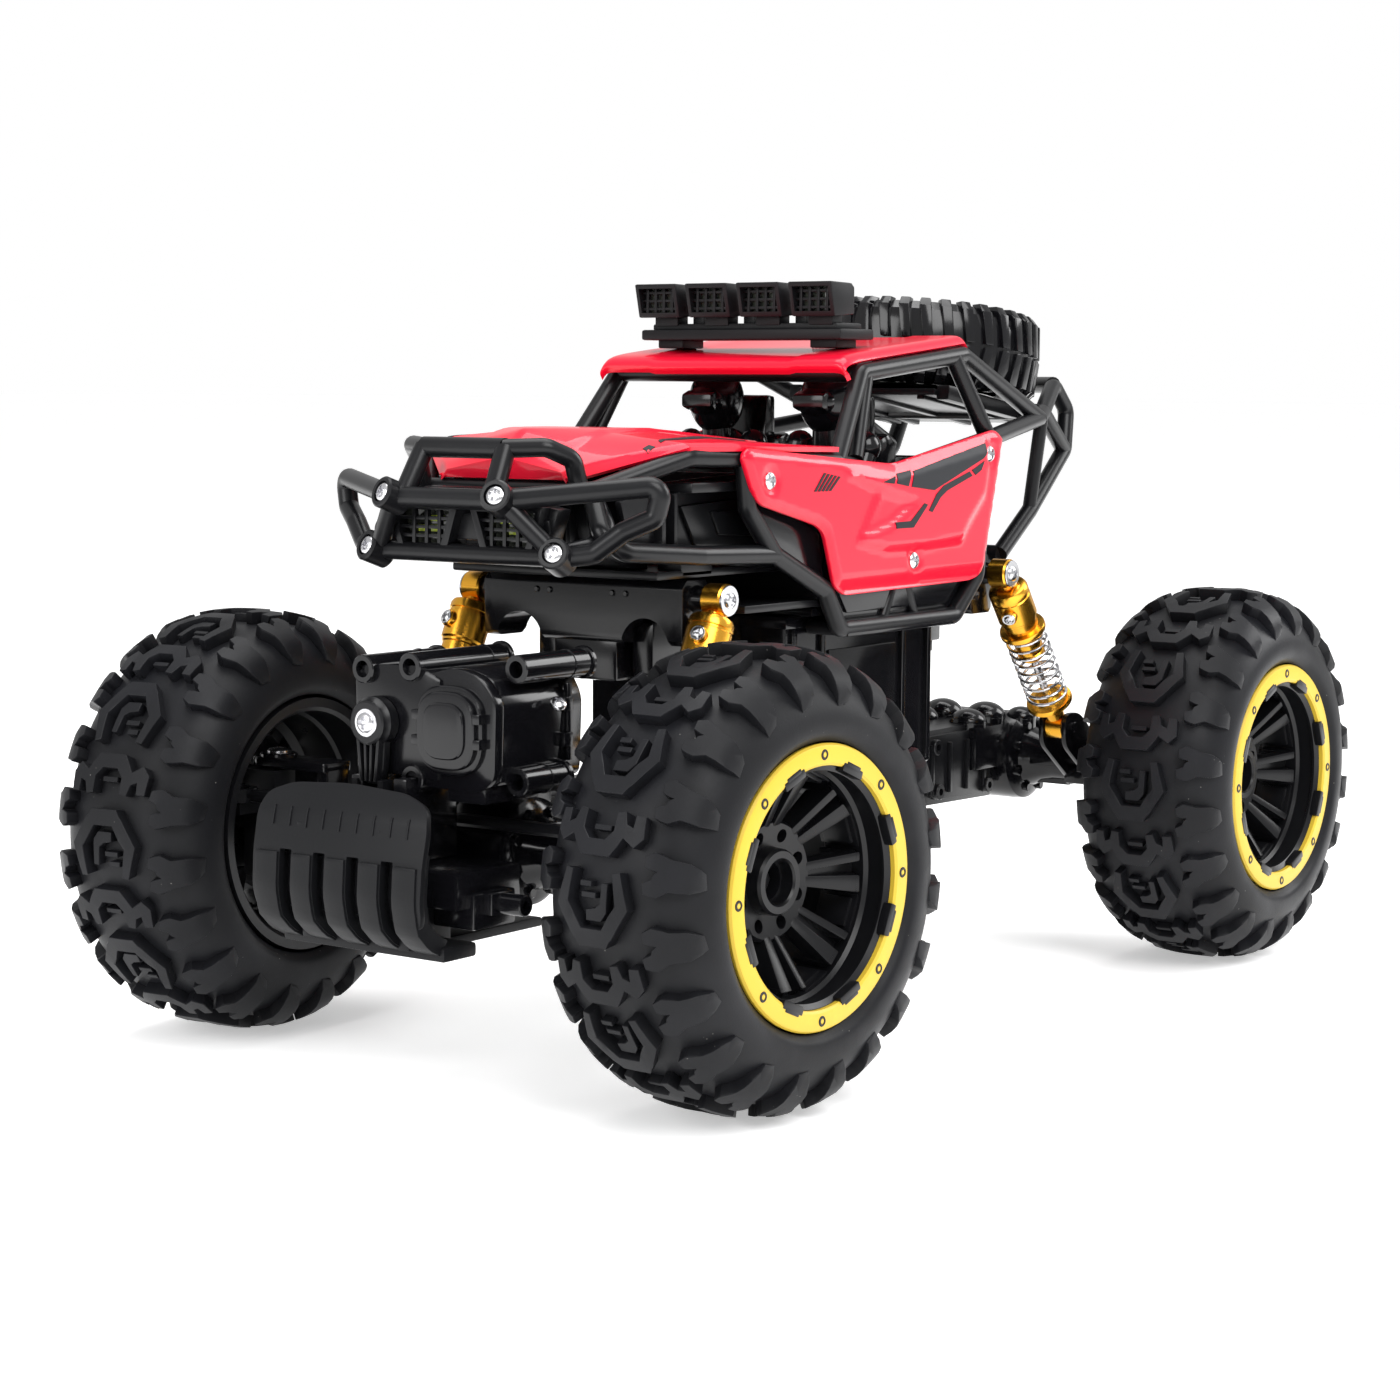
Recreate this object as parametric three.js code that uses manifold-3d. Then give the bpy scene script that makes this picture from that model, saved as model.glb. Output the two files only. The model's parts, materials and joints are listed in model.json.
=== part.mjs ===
// Remote control rock-crawler buggy, millimetres.
// +X is forward, +Y is the car's left, +Z is up. The origin is on the ground under the car's centre.
import * as THREE from 'three';
import { mergeVertices } from 'three/addons/utils/BufferGeometryUtils.js';
import Module from 'manifold-3d';

const wasm = await Module();
wasm.setup();

// ---------------------------------------------------------------- driving dimensions
const GAP = 0.3;                       // clearance between touching pieces
const TYRE_RADIUS = 65;
const TYRE_WIDTH = 55;
const AXLE_Z = TYRE_RADIUS;            // wheels stand on the ground
const AXLE_X = 144;                    // half the wheelbase
const WHEEL_Y = 94.7;                  // middle of the tread from the car's centre plane
const KINGPIN_Y = 82;                  // steering pivot, inside the front rim
const TOE_IN = THREE.MathUtils.degToRad(4);
const RING_RADIUS = 39.2;              // bead ring on the outside of the rim
const RING_BORE = 33;
const SHAFT_RADIUS = 3;                // axle shafts
const TUBE_RADIUS = 3;                 // cage tubes
const PANEL = 1.6;                     // thickness of the pressed metal panels
const WALL = 2;                        // thickness of the moulded covers
const CABIN_Y = 58;                    // outer face of the side panels
const ROOF_Y = 48;
const TUB = { front: 44, rear: -44, halfWidth: 38, floor: 74, top: 128 };
const PIVOT_X = 52;                    // axle tongues hinge on the tub here, front and rear
const PIVOT_Z = 80;
const SHOCK_Y = 46;
const SHOCK_FOOT = { x: 118, z: 80 };  // lower eyes, the same front and rear
const SHOCK_TOP = { front: 91, rear: 76, z: 136 };
const STEER_ARM = 17;                  // kingpin to tie rod
const SERVO = { x: 186, y: -3, z: 105, arm: 18 };
const SPARE = { x: -98, z: 210.5, radius: 41, width: 30, tilt: THREE.MathUtils.degToRad(-8) };
const LATHE_STEPS = 24;
const TUBE_SIDES = 6;

// ---------------------------------------------------------------- materials
const finish = (color, roughness, metalness = 0) => ({ color, roughness, metalness });
const BLACK_PLASTIC = finish(0x17181a, 0.45);
const MATTE_PLASTIC = finish(0x232427, 0.7);
const TYRE_RUBBER = finish(0x26272a, 0.85);
const RED_PANEL = finish(0xe5173f, 0.25, 0.3);
const YELLOW_RING = finish(0xe2c43c, 0.35, 0.2);
const GOLD = finish(0xd2942a, 0.28, 0.9);
const STEEL = finish(0xb9bcc0, 0.3, 1);
const LAMP = finish(0x2c3020, 0.2);
const BOARD = finish(0x1c5a36, 0.6);
const CELL = finish(0x2b4f9c, 0.5);
const BRASS = finish(0xb08d3c, 0.35, 0.9);

const group = new THREE.Group();

// ---------------------------------------------------------------- solids
const V = (x, y, z) => new THREE.Vector3(x, y, z);

// A closed geometry as a manifold solid.
function solid(geometry) {
  const bare = geometry.index ? geometry.toNonIndexed() : geometry.clone();
  for (const name of Object.keys(bare.attributes)) {
    if (name !== 'position') bare.deleteAttribute(name);
  }
  const merged = mergeVertices(bare, 1e-4);
  return new wasm.Manifold(new wasm.Mesh({
    numProp: 3,
    vertProperties: new Float32Array(merged.attributes.position.array),
    triVerts: new Uint32Array(merged.index.array),
  }));
}

// A manifold solid as a geometry again.
function toGeometry(body) {
  const mesh = body.getMesh();
  const geometry = new THREE.BufferGeometry();
  geometry.setAttribute('position', new THREE.BufferAttribute(mesh.vertProperties, 3));
  geometry.setIndex(new THREE.BufferAttribute(mesh.triVerts, 1));
  return geometry;
}

const join = (...bodies) => wasm.Manifold.union(bodies.flat(Infinity));

// Adds a solid to a group as a named mesh.
function addPart(name, body, look, parent = group) {
  const mesh = new THREE.Mesh(toGeometry(body), new THREE.MeshStandardMaterial(look));
  mesh.name = name;
  parent.add(mesh);
  return mesh;
}

// A box given by its low and high corners.
function block(x, y, z) {
  const geometry = new THREE.BoxGeometry(x[1] - x[0], y[1] - y[0], z[1] - z[0]);
  geometry.translate((x[0] + x[1]) / 2, (y[0] + y[1]) / 2, (z[0] + z[1]) / 2);
  return solid(geometry);
}

// A round bar between two points; it may taper.
function bar(a, b, radius, endRadius = radius, sides = 12) {
  const run = b.clone().sub(a);
  const geometry = new THREE.CylinderGeometry(endRadius, radius, run.length(), sides);
  geometry.translate(0, run.length() / 2, 0);
  geometry.applyQuaternion(new THREE.Quaternion().setFromUnitVectors(V(0, 1, 0), run.normalize()));
  geometry.translate(a.x, a.y, a.z);
  return solid(geometry);
}

// A run of straight lengths; its steps fall on the bends, where the tangent halves the angle.
class Run extends THREE.Curve {
  constructor(points) {
    super();
    this.points = points;
  }

  getPoint(t, target = new THREE.Vector3()) {
    const last = this.points.length - 1;
    const index = Math.min(Math.floor(t * last), last - 1);
    return target.lerpVectors(this.points[index], this.points[index + 1], t * last - index);
  }

  getPointAt(t, target) {
    return this.getPoint(t, target);
  }

  getTangentAt(t, target = new THREE.Vector3()) {
    const last = this.points.length - 1;
    const at = Math.round(t * last);
    const before = this.points[Math.max(at - 1, 0)];
    const after = this.points[Math.min(at + 1, last)];
    const into = this.points[at].clone().sub(before).normalize();
    return target.copy(after).sub(this.points[at]).normalize().add(into).normalize();
  }
}

function tube(points, radius = TUBE_RADIUS) {
  const section = new THREE.Shape();
  section.absarc(0, 0, radius, 0, 2 * Math.PI);
  const geometry = new THREE.ExtrudeGeometry(section, {
    extrudePath: new Run(points),
    steps: points.length - 1,
    curveSegments: TUBE_SIDES / 2,
  });
  return solid(geometry);
}

const mirrored = (points) => points.map((p) => V(p.x, -p.y, p.z));

// The same run of tube on the car's left and right.
const tubePair = (points, radius) => join(tube(points, radius), tube(mirrored(points), radius));

function outline(points) {
  return new THREE.Shape(points.map(([u, v]) => new THREE.Vector2(u, v)));
}

// An outline in X and Z, drawn from y0 to y1.
function slabXZ(points, y0, y1) {
  const geometry = new THREE.ExtrudeGeometry(outline(points), { depth: y1 - y0, bevelEnabled: false });
  geometry.rotateX(Math.PI / 2);
  geometry.translate(0, y1, 0);
  return solid(geometry);
}

// An outline in X and Y, drawn from z0 to z1.
function slabXY(points, z0, z1) {
  const geometry = new THREE.ExtrudeGeometry(outline(points), { depth: z1 - z0, bevelEnabled: false });
  geometry.translate(0, 0, z0);
  return solid(geometry);
}

// An outline in Y and Z, drawn from x0 to x1.
function slabYZ(points, x0, x1) {
  const geometry = new THREE.ExtrudeGeometry(outline(points), { depth: x1 - x0, bevelEnabled: false });
  geometry.applyMatrix4(new THREE.Matrix4().makeBasis(V(0, 1, 0), V(0, 0, 1), V(1, 0, 0)));
  geometry.translate(x0, 0, 0);
  return solid(geometry);
}

// A profile of radius and height turned about the Y axis.
function turned(profile, steps = LATHE_STEPS) {
  const points = profile.map(([r, y]) => new THREE.Vector2(r, y));
  return solid(new THREE.LatheGeometry(points, steps));
}

const closedTurn = (profile, steps) => turned([...profile, profile[0]], steps);

const placed = (body, at) => body.translate([at.x, at.y, at.z]);

// ---------------------------------------------------------------- wheels
// Each wheel is made at the origin with its outside towards +Y.
const HALF = TYRE_WIDTH / 2;
const BEAD = RING_RADIUS + GAP;

const tyreProfile = [
  [BEAD, -HALF + 1.5], [50, -HALF], [59.5, -HALF + 3], [TYRE_RADIUS, -12], [TYRE_RADIUS, 12],
  [59.5, HALF - 3], [50, HALF], [BEAD, HALF - 1.3],
  [BEAD, HALF - 5.5], [58, HALF - 8], [58, -HALF + 8], [BEAD, -HALF + 6],
];

const RIM_BORE = 31;
const rimProfile = [
  [38.6, -25.5], [34.5, -16], [34.5, 16], [38.6, 19.5], [38.6, 23.7],
  [RING_BORE + 0.2, 23.7], [RIM_BORE, 14], [RIM_BORE, -25.5],
];

const SPOKES = 8;
const SPOKE_WIDTH = 8;
const HUB = { radius: 9, inner: -1, outer: 12, bore: 4 };

function rimSolid(hubInnerY, hubBore) {
  const spoke = slabXY([[6, 1], [RIM_BORE + 1, 8], [RIM_BORE + 1, 14], [6, 8]],
    -SPOKE_WIDTH / 2, SPOKE_WIDTH / 2);
  const bodies = [closedTurn(rimProfile)];
  for (let i = 0; i < SPOKES; i += 1) {
    bodies.push(spoke.rotate([0, (i * 360) / SPOKES, 0]));
  }
  bodies.push(bar(V(0, HUB.inner, 0), V(0, HUB.outer, 0), HUB.radius));
  if (hubInnerY < HUB.inner) {
    bodies.push(bar(V(0, hubInnerY, 0), V(0, HUB.inner + 1, 0), 5));
  }
  const nutRecess = bar(V(0, HUB.outer - 7, 0), V(0, HUB.outer + 1, 0), HUB.bore);
  const shaftBore = bar(V(0, hubInnerY - 1, 0), V(0, HUB.outer, 0), hubBore);
  return join(bodies).subtract(nutRecess).subtract(shaftBore);
}

const ringProfile = [[RING_BORE, 24], [RING_RADIUS, 24], [RING_RADIUS, 26], [RING_BORE, 26]];

// Adds one wheel: tyre, rim and bead ring, turned by its toe angle.
function addWheel(name, x, side, toe, hubInnerY, hubBore) {
  const wheel = new THREE.Group();
  const offset = WHEEL_Y - KINGPIN_Y;
  const swing = toe ? V(offset * Math.sin(toe), side * (KINGPIN_Y + offset * Math.cos(toe)), 0)
    : V(0, side * WHEEL_Y, 0);
  wheel.position.set(x + swing.x, swing.y, AXLE_Z);
  wheel.rotation.z = (side > 0 ? 0 : Math.PI) - side * toe;
  group.add(wheel);
  addPart(`${name}_tyre`, closedTurn(tyreProfile), TYRE_RUBBER, wheel);
  addPart(`${name}_rim`, rimSolid(hubInnerY, hubBore), BLACK_PLASTIC, wheel);
  addPart(`${name}_bead_ring`, closedTurn(ringProfile), YELLOW_RING, wheel);
}

// ---------------------------------------------------------------- axle drive
// The crown gear stands beside the pinion, whose axis is the car's centre line.
const CROWN = { teeth: 24, inner: 8, outer: 12, thickness: 3, toothHeight: 1.7, toothWidth: 0.8 };
const PINION = { teeth: 8, root: 2.6, tip: 4.1, toothWidth: 0.7, inner: 8.4, outer: 11.6, shaft: 1.2 };
const MESH_DEPTH = 2.83;               // pinion axis to the crown's tooth tips
const SHAFT_END = { front: 70, rear: WHEEL_Y + HUB.outer - 8 };
const MOTOR = { radius: 10, start: 22, length: 30 };

function crownShaft(halfLength) {
  const tips = -MESH_DEPTH;
  const face = tips - CROWN.toothHeight;
  const half = CROWN.toothWidth / 2;
  const bodies = [
    bar(V(0, -halfLength, 0), V(0, halfLength, 0), SHAFT_RADIUS),
    bar(V(0, face - CROWN.thickness, 0), V(0, face, 0), CROWN.outer, CROWN.outer, LATHE_STEPS),
  ];
  const tooth = block([CROWN.inner, CROWN.outer - 0.2], [face - 0.2, tips], [-half, half]);
  for (let i = 0; i < CROWN.teeth; i += 1) {
    bodies.push(tooth.rotate([0, ((i + 0.5) * 360) / CROWN.teeth, 0]));
  }
  return join(bodies);
}

function pinionShaft() {
  const half = PINION.toothWidth / 2;
  const bodies = [
    bar(V(-PINION.inner, 0, 0), V(-PINION.outer, 0, 0), PINION.root),
    bar(V(-PINION.inner, 0, 0), V(-MOTOR.start - 4, 0, 0), PINION.shaft, PINION.shaft, 8),
  ];
  const tooth = block([-PINION.outer, -PINION.inner], [-PINION.tip, -1], [-half, half]);
  for (let i = 0; i < PINION.teeth; i += 1) {
    bodies.push(tooth.rotate([(i * 360) / PINION.teeth, 0, 0]));
  }
  return join(bodies);
}

// A motor can along -X with its nose at the origin.
function motorCan(radius, length, nose) {
  const can = join(
    bar(V(0, 0, 0), V(-length, 0, 0), radius, radius, 20),
    bar(V(2, 0, 0), V(-1, 0, 0), nose, nose, 12),
  );
  return can.subtract(bar(V(3, 0, 0), V(-6, 0, 0), PINION.shaft + GAP + 0.2, PINION.shaft + GAP + 0.2, 10));
}

// ---------------------------------------------------------------- axles
const DIFF = { radius: 16, halfWidth: 20, wall: 2.5 };
const AXLE_TUBE = { radius: 8, bore: SHAFT_RADIUS + 0.6 };
const TONGUE = { halfWidth: 14, halfHeight: 14, start: DIFF.radius + 1, bore: 3.4 };
const HOUSING_END = { front: KINGPIN_Y - 17, rear: WHEEL_Y - 28 };
const KINGPIN = { radius: 2.2, hole: 2.6, reach: 21 };
const FORK = { inner: 17, outer: 20, halfLength: 6 };

// Two plates that hold the shock's lower eye between them.
function shockFoot(side) {
  const footX = SHOCK_FOOT.x - AXLE_X;
  const footZ = SHOCK_FOOT.z - AXLE_Z;
  const cheek = [[-16, -7], [10, -7], [10, 6], [footX + 6, footZ + 4], [footX - 5, footZ + 4],
    [footX - 5, footZ - 4]];
  return [-1, 1].map((edge) => {
    const y = side * SHOCK_Y + edge * 5.2;
    return slabXZ(cheek, y - 1.4, y + 1.4);
  });
}

// Upper and lower arms that carry a steering knuckle.
function knuckleFork(side) {
  const span = (a, b) => [Math.min(side * a, side * b), Math.max(side * a, side * b)];
  const x = [-FORK.halfLength, FORK.halfLength];
  const arms = span(HOUSING_END.front - 2, KINGPIN_Y + 6);
  return [
    block(x, arms, [FORK.inner, FORK.outer]),
    block(x, arms, [-FORK.outer, -FORK.inner]),
    block(x, span(HOUSING_END.front - 2, HOUSING_END.front + 3), [-FORK.outer, FORK.outer]),
  ];
}

// Hollow housing along Y at the origin, open behind towards its tongue.
function axleHousing(end, additions) {
  const inner = DIFF.halfWidth - DIFF.wall;
  const room = DIFF.radius - DIFF.wall;
  const shell = join(
    bar(V(0, -end, 0), V(0, end, 0), AXLE_TUBE.radius),
    bar(V(0, -DIFF.halfWidth, 0), V(0, DIFF.halfWidth, 0), DIFF.radius, DIFF.radius, 24),
    shockFoot(1), shockFoot(-1), additions,
  );
  return shell
    .subtract(bar(V(0, -inner, 0), V(0, inner, 0), room, room, 24))
    .subtract(bar(V(0, -KINGPIN_Y, 0), V(0, KINGPIN_Y, 0), AXLE_TUBE.bore))
    .subtract(block([-DIFF.radius - 1, 0], [-10, 10], [-11, 11]));
}

function frontHousing() {
  const servoStand = block([-12, 8], [-8, 16], [DIFF.radius - 3, 24.7]);
  let body = axleHousing(HOUSING_END.front, [knuckleFork(1), knuckleFork(-1), servoStand]);
  for (const y of [-KINGPIN_Y, KINGPIN_Y]) {
    body = body.subtract(bar(V(0, y, -30), V(0, y, 30), KINGPIN.hole));
  }
  return body;
}

// Housing from the axle back to its pivot on the tub; the motor lies in it.
function tongueSolid() {
  const pivot = V(PIVOT_X - AXLE_X, 0, PIVOT_Z - AXLE_Z);
  const { halfWidth, halfHeight, start } = TONGUE;
  const end = -(MOTOR.start + MOTOR.length + 3);
  const profile = [[-start, -halfHeight], [-start, halfHeight], [end, halfHeight],
    [pivot.x, pivot.z + 6], [pivot.x - 6, pivot.z + 3], [pivot.x - 6, pivot.z - 3],
    [pivot.x, pivot.z - 6], [end, -halfHeight]];
  const room = block([end + WALL, -start + 1], [-halfWidth + WALL, halfWidth - WALL],
    [-halfHeight + WALL, halfHeight - WALL]);
  const bore = bar(V(pivot.x, -halfWidth - 1, pivot.z), V(pivot.x, halfWidth + 1, pivot.z), TONGUE.bore);
  return slabXZ(profile, -halfWidth, halfWidth).subtract(room).subtract(bore);
}

// The rear axle is the front one turned half round about Z.
function addAxle(name, direction) {
  const place = new THREE.Group();
  place.position.set(direction * AXLE_X, 0, AXLE_Z);
  place.rotation.z = direction > 0 ? 0 : Math.PI;
  group.add(place);
  const housing = direction > 0 ? frontHousing() : axleHousing(HOUSING_END.rear, []);
  const motor = motorCan(MOTOR.radius, MOTOR.length, 3.4);
  addPart(`${name}_axle_housing`, housing, BLACK_PLASTIC, place);
  addPart(`${name}_tongue`, tongueSolid(), BLACK_PLASTIC, place);
  addPart(`${name}_axle_shaft`, crownShaft(SHAFT_END[name]), STEEL, place);
  addPart(`${name}_pinion`, pinionShaft(), BRASS, place);
  addPart(`${name}_motor`, placed(motor, V(-MOTOR.start, 0, 0)), STEEL, place);
}

// ---------------------------------------------------------------- steering
const STEERING_CASE = { x: [150, 186], y: [-10, 19], z: [90, 119] };
const MOTOR_COVER = { x: [140, 180], y: [19 + GAP, 39], z: [88, 124] };
const TIE_ROD = { x: AXLE_X + STEER_ARM, z: AXLE_Z + 10, radius: 2 };

function steeringCase() {
  const { x, y, z } = STEERING_CASE;
  const shell = block(x, y, z);
  const room = block([x[0] - 1, x[1] - WALL], [y[0] + WALL, y[1] - WALL], [z[0] + WALL, z[1] - WALL]);
  const tubes = [[-8, x[0] + 2, z[1] + 1], [9, x[0] - 4, z[1] + 2], [9, x[0] + 20, z[0] - 0.5]];
  let body = join(shell, bar(V(x[1] - 3, SERVO.y, SERVO.z), V(x[1] + 5, SERVO.y, SERVO.z), 2.4))
    .subtract(room);
  for (const [ty, start, tz] of tubes) {
    body = body.add(bar(V(start, ty, tz), V(x[1] + 1, ty, tz), 4, 4, 12));
    body = body.subtract(bar(V(x[1] - 12, ty, tz), V(x[1] + 2, ty, tz), 2.4, 2.4, 12));
  }
  return body;
}

function motorCover() {
  const { x, y, z } = MOTOR_COVER;
  const middle = V(0, (y[0] + y[1]) / 2, (z[0] + z[1]) / 2);
  const cut = 5;
  const corners = [[y[0], z[0]], [y[1] - cut, z[0]], [y[1], z[0] + cut], [y[1], z[1] - cut],
    [y[1] - cut, z[1]], [y[0], z[1]]];
  const dome = bar(V(x[1] - 1, middle.y, middle.z), V(x[1] + 4, middle.y, middle.z), 9, 7, 20);
  const room = bar(V(x[0] - 1, middle.y, middle.z), V(x[1] - WALL, middle.y, middle.z), 8.2, 8.2, 20);
  return slabYZ(corners, x[0], x[1]).add(dome).subtract(room);
}

// Swings about the servo shaft and pushes the tie rod's fork sideways.
function servoArm() {
  const x = [STEERING_CASE.x[1] + GAP, STEERING_CASE.x[1] + 5];
  const { y, z, arm } = SERVO;
  const profile = [[y - 5, z], [y - 2.4, z - arm - 2.4], [y + 2.4, z - arm - 2.4], [y + 5, z]];
  return join(slabYZ(profile, x[0], x[1]), bar(V(x[0], y, z), V(x[1], y, z), 6))
    .subtract(bar(V(x[0] - 1, y, z), V(x[1] + 1, y, z), 2.4 + GAP));
}

function tieRod() {
  const { x, z, radius } = TIE_ROD;
  const front = STEERING_CASE.x[1];
  const eyes = [-KINGPIN_Y, KINGPIN_Y].map((y) => bar(V(x, y, z - 2), V(x, y, z + 2), 5.5, 5.5, 14));
  const holes = [-KINGPIN_Y, KINGPIN_Y].map((y) => bar(V(x, y, z - 3), V(x, y, z + 3), 3.2, 3.2, 14));
  const fingers = [-1, 1].map((side) => {
    const y = SERVO.y + side * 4.8;
    return block([front + 1, front + 5], [y - 1, y + 1], [z - 2, SERVO.z - SERVO.arm + 2]);
  });
  const foot = block([x, front + 5], [SERVO.y - 5.8, SERVO.y + 5.8], [z - 2, z + 1]);
  return join(bar(V(x, -KINGPIN_Y, z), V(x, KINGPIN_Y, z), radius, radius, 10), eyes, foot, fingers)
    .subtract(join(holes));
}

// Steering knuckle about the origin, which is its kingpin; +Y is outboard.
function knuckle() {
  const pinZ = TIE_ROD.z - AXLE_Z;
  const outboard = V(Math.sin(TOE_IN), Math.cos(TOE_IN), 0);
  const along = (distance) => outboard.clone().multiplyScalar(distance);
  const body = join(
    block([-8, 8], [-6, 7], [-FORK.inner + GAP + 0.2, FORK.inner - GAP - 0.2]),
    bar(V(0, 0, -KINGPIN.reach), V(0, 0, KINGPIN.reach), KINGPIN.radius, KINGPIN.radius, 12),
    block([6, STEER_ARM + 2.5], [-2.5, 2.5], [pinZ - 6, pinZ - 2.5]),
    bar(V(STEER_ARM, 0, pinZ - 3), V(STEER_ARM, 0, pinZ + 3), 1.5, 1.5, 10),
  );
  return body
    .subtract(bar(V(0, -7, 0), V(0, 1, 0), AXLE_TUBE.bore, AXLE_TUBE.bore, 14))
    .subtract(bar(along(0.8), along(9), 5 + GAP + 0.1, undefined, 16));
}

function addKnuckle(name, side) {
  const body = side > 0 ? knuckle() : knuckle().mirror([0, 1, 0]);
  const mesh = addPart(name, body, BLACK_PLASTIC);
  mesh.position.set(AXLE_X, side * KINGPIN_Y, AXLE_Z);
}

// Bent plate in front of the axle, with a leg back under the housing.
const SKID = { halfWidth: 33, slots: 4, pitch: 12.5, slotWidth: 5 };

function skidPlate() {
  const profile = [[AXLE_X + 62, 96], [AXLE_X + 65.2, 92], [AXLE_X + 58, 47], [AXLE_X + 52, 42],
    [AXLE_X - 8, 44], [AXLE_X - 8, 47.6], [AXLE_X + 51, 45.6], [AXLE_X + 54.8, 48.5], [AXLE_X + 61.5, 90]];
  let body = slabXZ(profile, -SKID.halfWidth, SKID.halfWidth);
  for (let i = 0; i < SKID.slots; i += 1) {
    const y = (i - (SKID.slots - 1) / 2) * SKID.pitch;
    body = body.subtract(block([AXLE_X + 50, AXLE_X + 70], [y - SKID.slotWidth / 2, y + SKID.slotWidth / 2],
      [50, 74]));
  }
  return body.subtract(block([AXLE_X - 20, AXLE_X + 44], [16, 40], [30, 60]))
    .subtract(block([AXLE_X - 20, AXLE_X + 44], [-40, -16], [30, 60]));
}

function addSteering() {
  const { x, y, z } = MOTOR_COVER;
  const servoMotor = placed(motorCan(7, 26, 3), V(x[1] - 8, (y[0] + y[1]) / 2, (z[0] + z[1]) / 2));
  addPart('steering_gearbox_case', steeringCase(), BLACK_PLASTIC);
  addPart('servo_motor_cover', motorCover(), BLACK_PLASTIC);
  addPart('servo_motor', servoMotor, STEEL);
  addPart('front_skid_plate', skidPlate(), MATTE_PLASTIC);
  addPart('servo_arm', servoArm(), MATTE_PLASTIC);
  addPart('tie_rod', tieRod(), BLACK_PLASTIC);
  addKnuckle('left_knuckle', 1);
  addKnuckle('right_knuckle', -1);
}

// ---------------------------------------------------------------- shock absorbers
const SHOCK = { eye: 5, eyeHole: 2.2, eyeWidth: 7, cap: 7, body: 4.6, bodyEnd: 40, bore: 1.8, rod: 1.4 };
const SPRING = { radius: 7, wire: 0.9, turns: 6, stepsPerTurn: 8, start: 27, tail: 12 };

class Coil extends THREE.Curve {
  constructor(start, end) {
    super();
    this.start = start;
    this.end = end;
  }

  getPoint(t, target = new THREE.Vector3()) {
    const angle = t * SPRING.turns * 2 * Math.PI;
    const along = THREE.MathUtils.lerp(this.start, this.end, t);
    return target.set(SPRING.radius * Math.cos(angle), SPRING.radius * Math.sin(angle), -along);
  }
}

function eye(z, radius) {
  const half = SHOCK.eyeWidth / 2;
  return bar(V(0, -half, z), V(0, half, z), radius, radius, 14);
}

const eyeHole = (z) => bar(V(0, -10, z), V(0, 10, z), SHOCK.eyeHole, SHOCK.eyeHole, 12);

// Each shock part is made hanging down -Z from its upper eye.
function shockBody() {
  return join(
    eye(0, SHOCK.eye),
    bar(V(0, 0, -3), V(0, 0, -18), SHOCK.cap - 1, SHOCK.cap),
    bar(V(0, 0, -18), V(0, 0, -25), SHOCK.cap - 1.2),
    bar(V(0, 0, -24), V(0, 0, -SPRING.start + 1.2), SHOCK.cap + 1.2),
    bar(V(0, 0, -20), V(0, 0, -SHOCK.bodyEnd), SHOCK.body, SHOCK.body, 14),
  ).subtract(eyeHole(0)).subtract(bar(V(0, 0, -16), V(0, 0, -SHOCK.bodyEnd - 1), SHOCK.bore, SHOCK.bore, 12));
}

function shockRod(length) {
  const seat = -(length - SPRING.tail + 1.2);
  return join(
    eye(-length, SHOCK.eye - 0.5),
    bar(V(0, 0, -30), V(0, 0, -length + 2), SHOCK.rod, SHOCK.rod, 10),
    bar(V(0, 0, seat), V(0, 0, seat - 2.4), SHOCK.cap + 1.2),
  ).subtract(eyeHole(-length));
}

function shockSpring(length) {
  const path = new Coil(SPRING.start, length - SPRING.tail);
  const section = new THREE.Shape();
  section.absarc(0, 0, SPRING.wire, 0, 2 * Math.PI);
  const geometry = new THREE.ExtrudeGeometry(section, {
    extrudePath: path,
    steps: SPRING.turns * SPRING.stepsPerTurn,
    curveSegments: 3,
  });
  return solid(geometry);
}

function addShock(end, direction, sideName, side) {
  const name = `${end}_${sideName}_shock`;
  const top = V(direction * SHOCK_TOP[end], side * SHOCK_Y, SHOCK_TOP.z);
  const foot = V(direction * SHOCK_FOOT.x, side * SHOCK_Y, SHOCK_FOOT.z);
  const length = top.distanceTo(foot);
  const place = new THREE.Group();
  place.position.copy(top);
  place.quaternion.setFromUnitVectors(V(0, 0, -1), foot.clone().sub(top).normalize());
  group.add(place);
  addPart(`${name}_body`, shockBody(), GOLD, place);
  addPart(`${name}_rod`, shockRod(length), GOLD, place);
  addPart(`${name}_spring`, shockSpring(length), STEEL, place);
}

// Cross beam with a pin for each upper eye and arms back to the tub.
function shockTower(end, direction) {
  const x = direction * SHOCK_TOP[end];
  const arm = [Math.min(x, direction * (TUB.front + GAP)), Math.max(x, direction * (TUB.front + GAP))];
  const pinReach = SHOCK_Y + SHOCK.eyeWidth / 2 + 1.5;
  return join(
    block([x - 7, x + 7], [-38, 38], [SHOCK_TOP.z - 14, SHOCK_TOP.z + 6]),
    block(arm, [14, 22], [TUB.top - 16, TUB.top]),
    block(arm, [-22, -14], [TUB.top - 16, TUB.top]),
    bar(V(x, -pinReach, SHOCK_TOP.z), V(x, pinReach, SHOCK_TOP.z), SHOCK.eyeHole - GAP - 0.1, undefined, 12),
  );
}

// ---------------------------------------------------------------- chassis
const BATTERY = { x: [-32, 32], y: [-18, 18], z: [76, 95] };
const BOARD_Z = 106;

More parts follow.
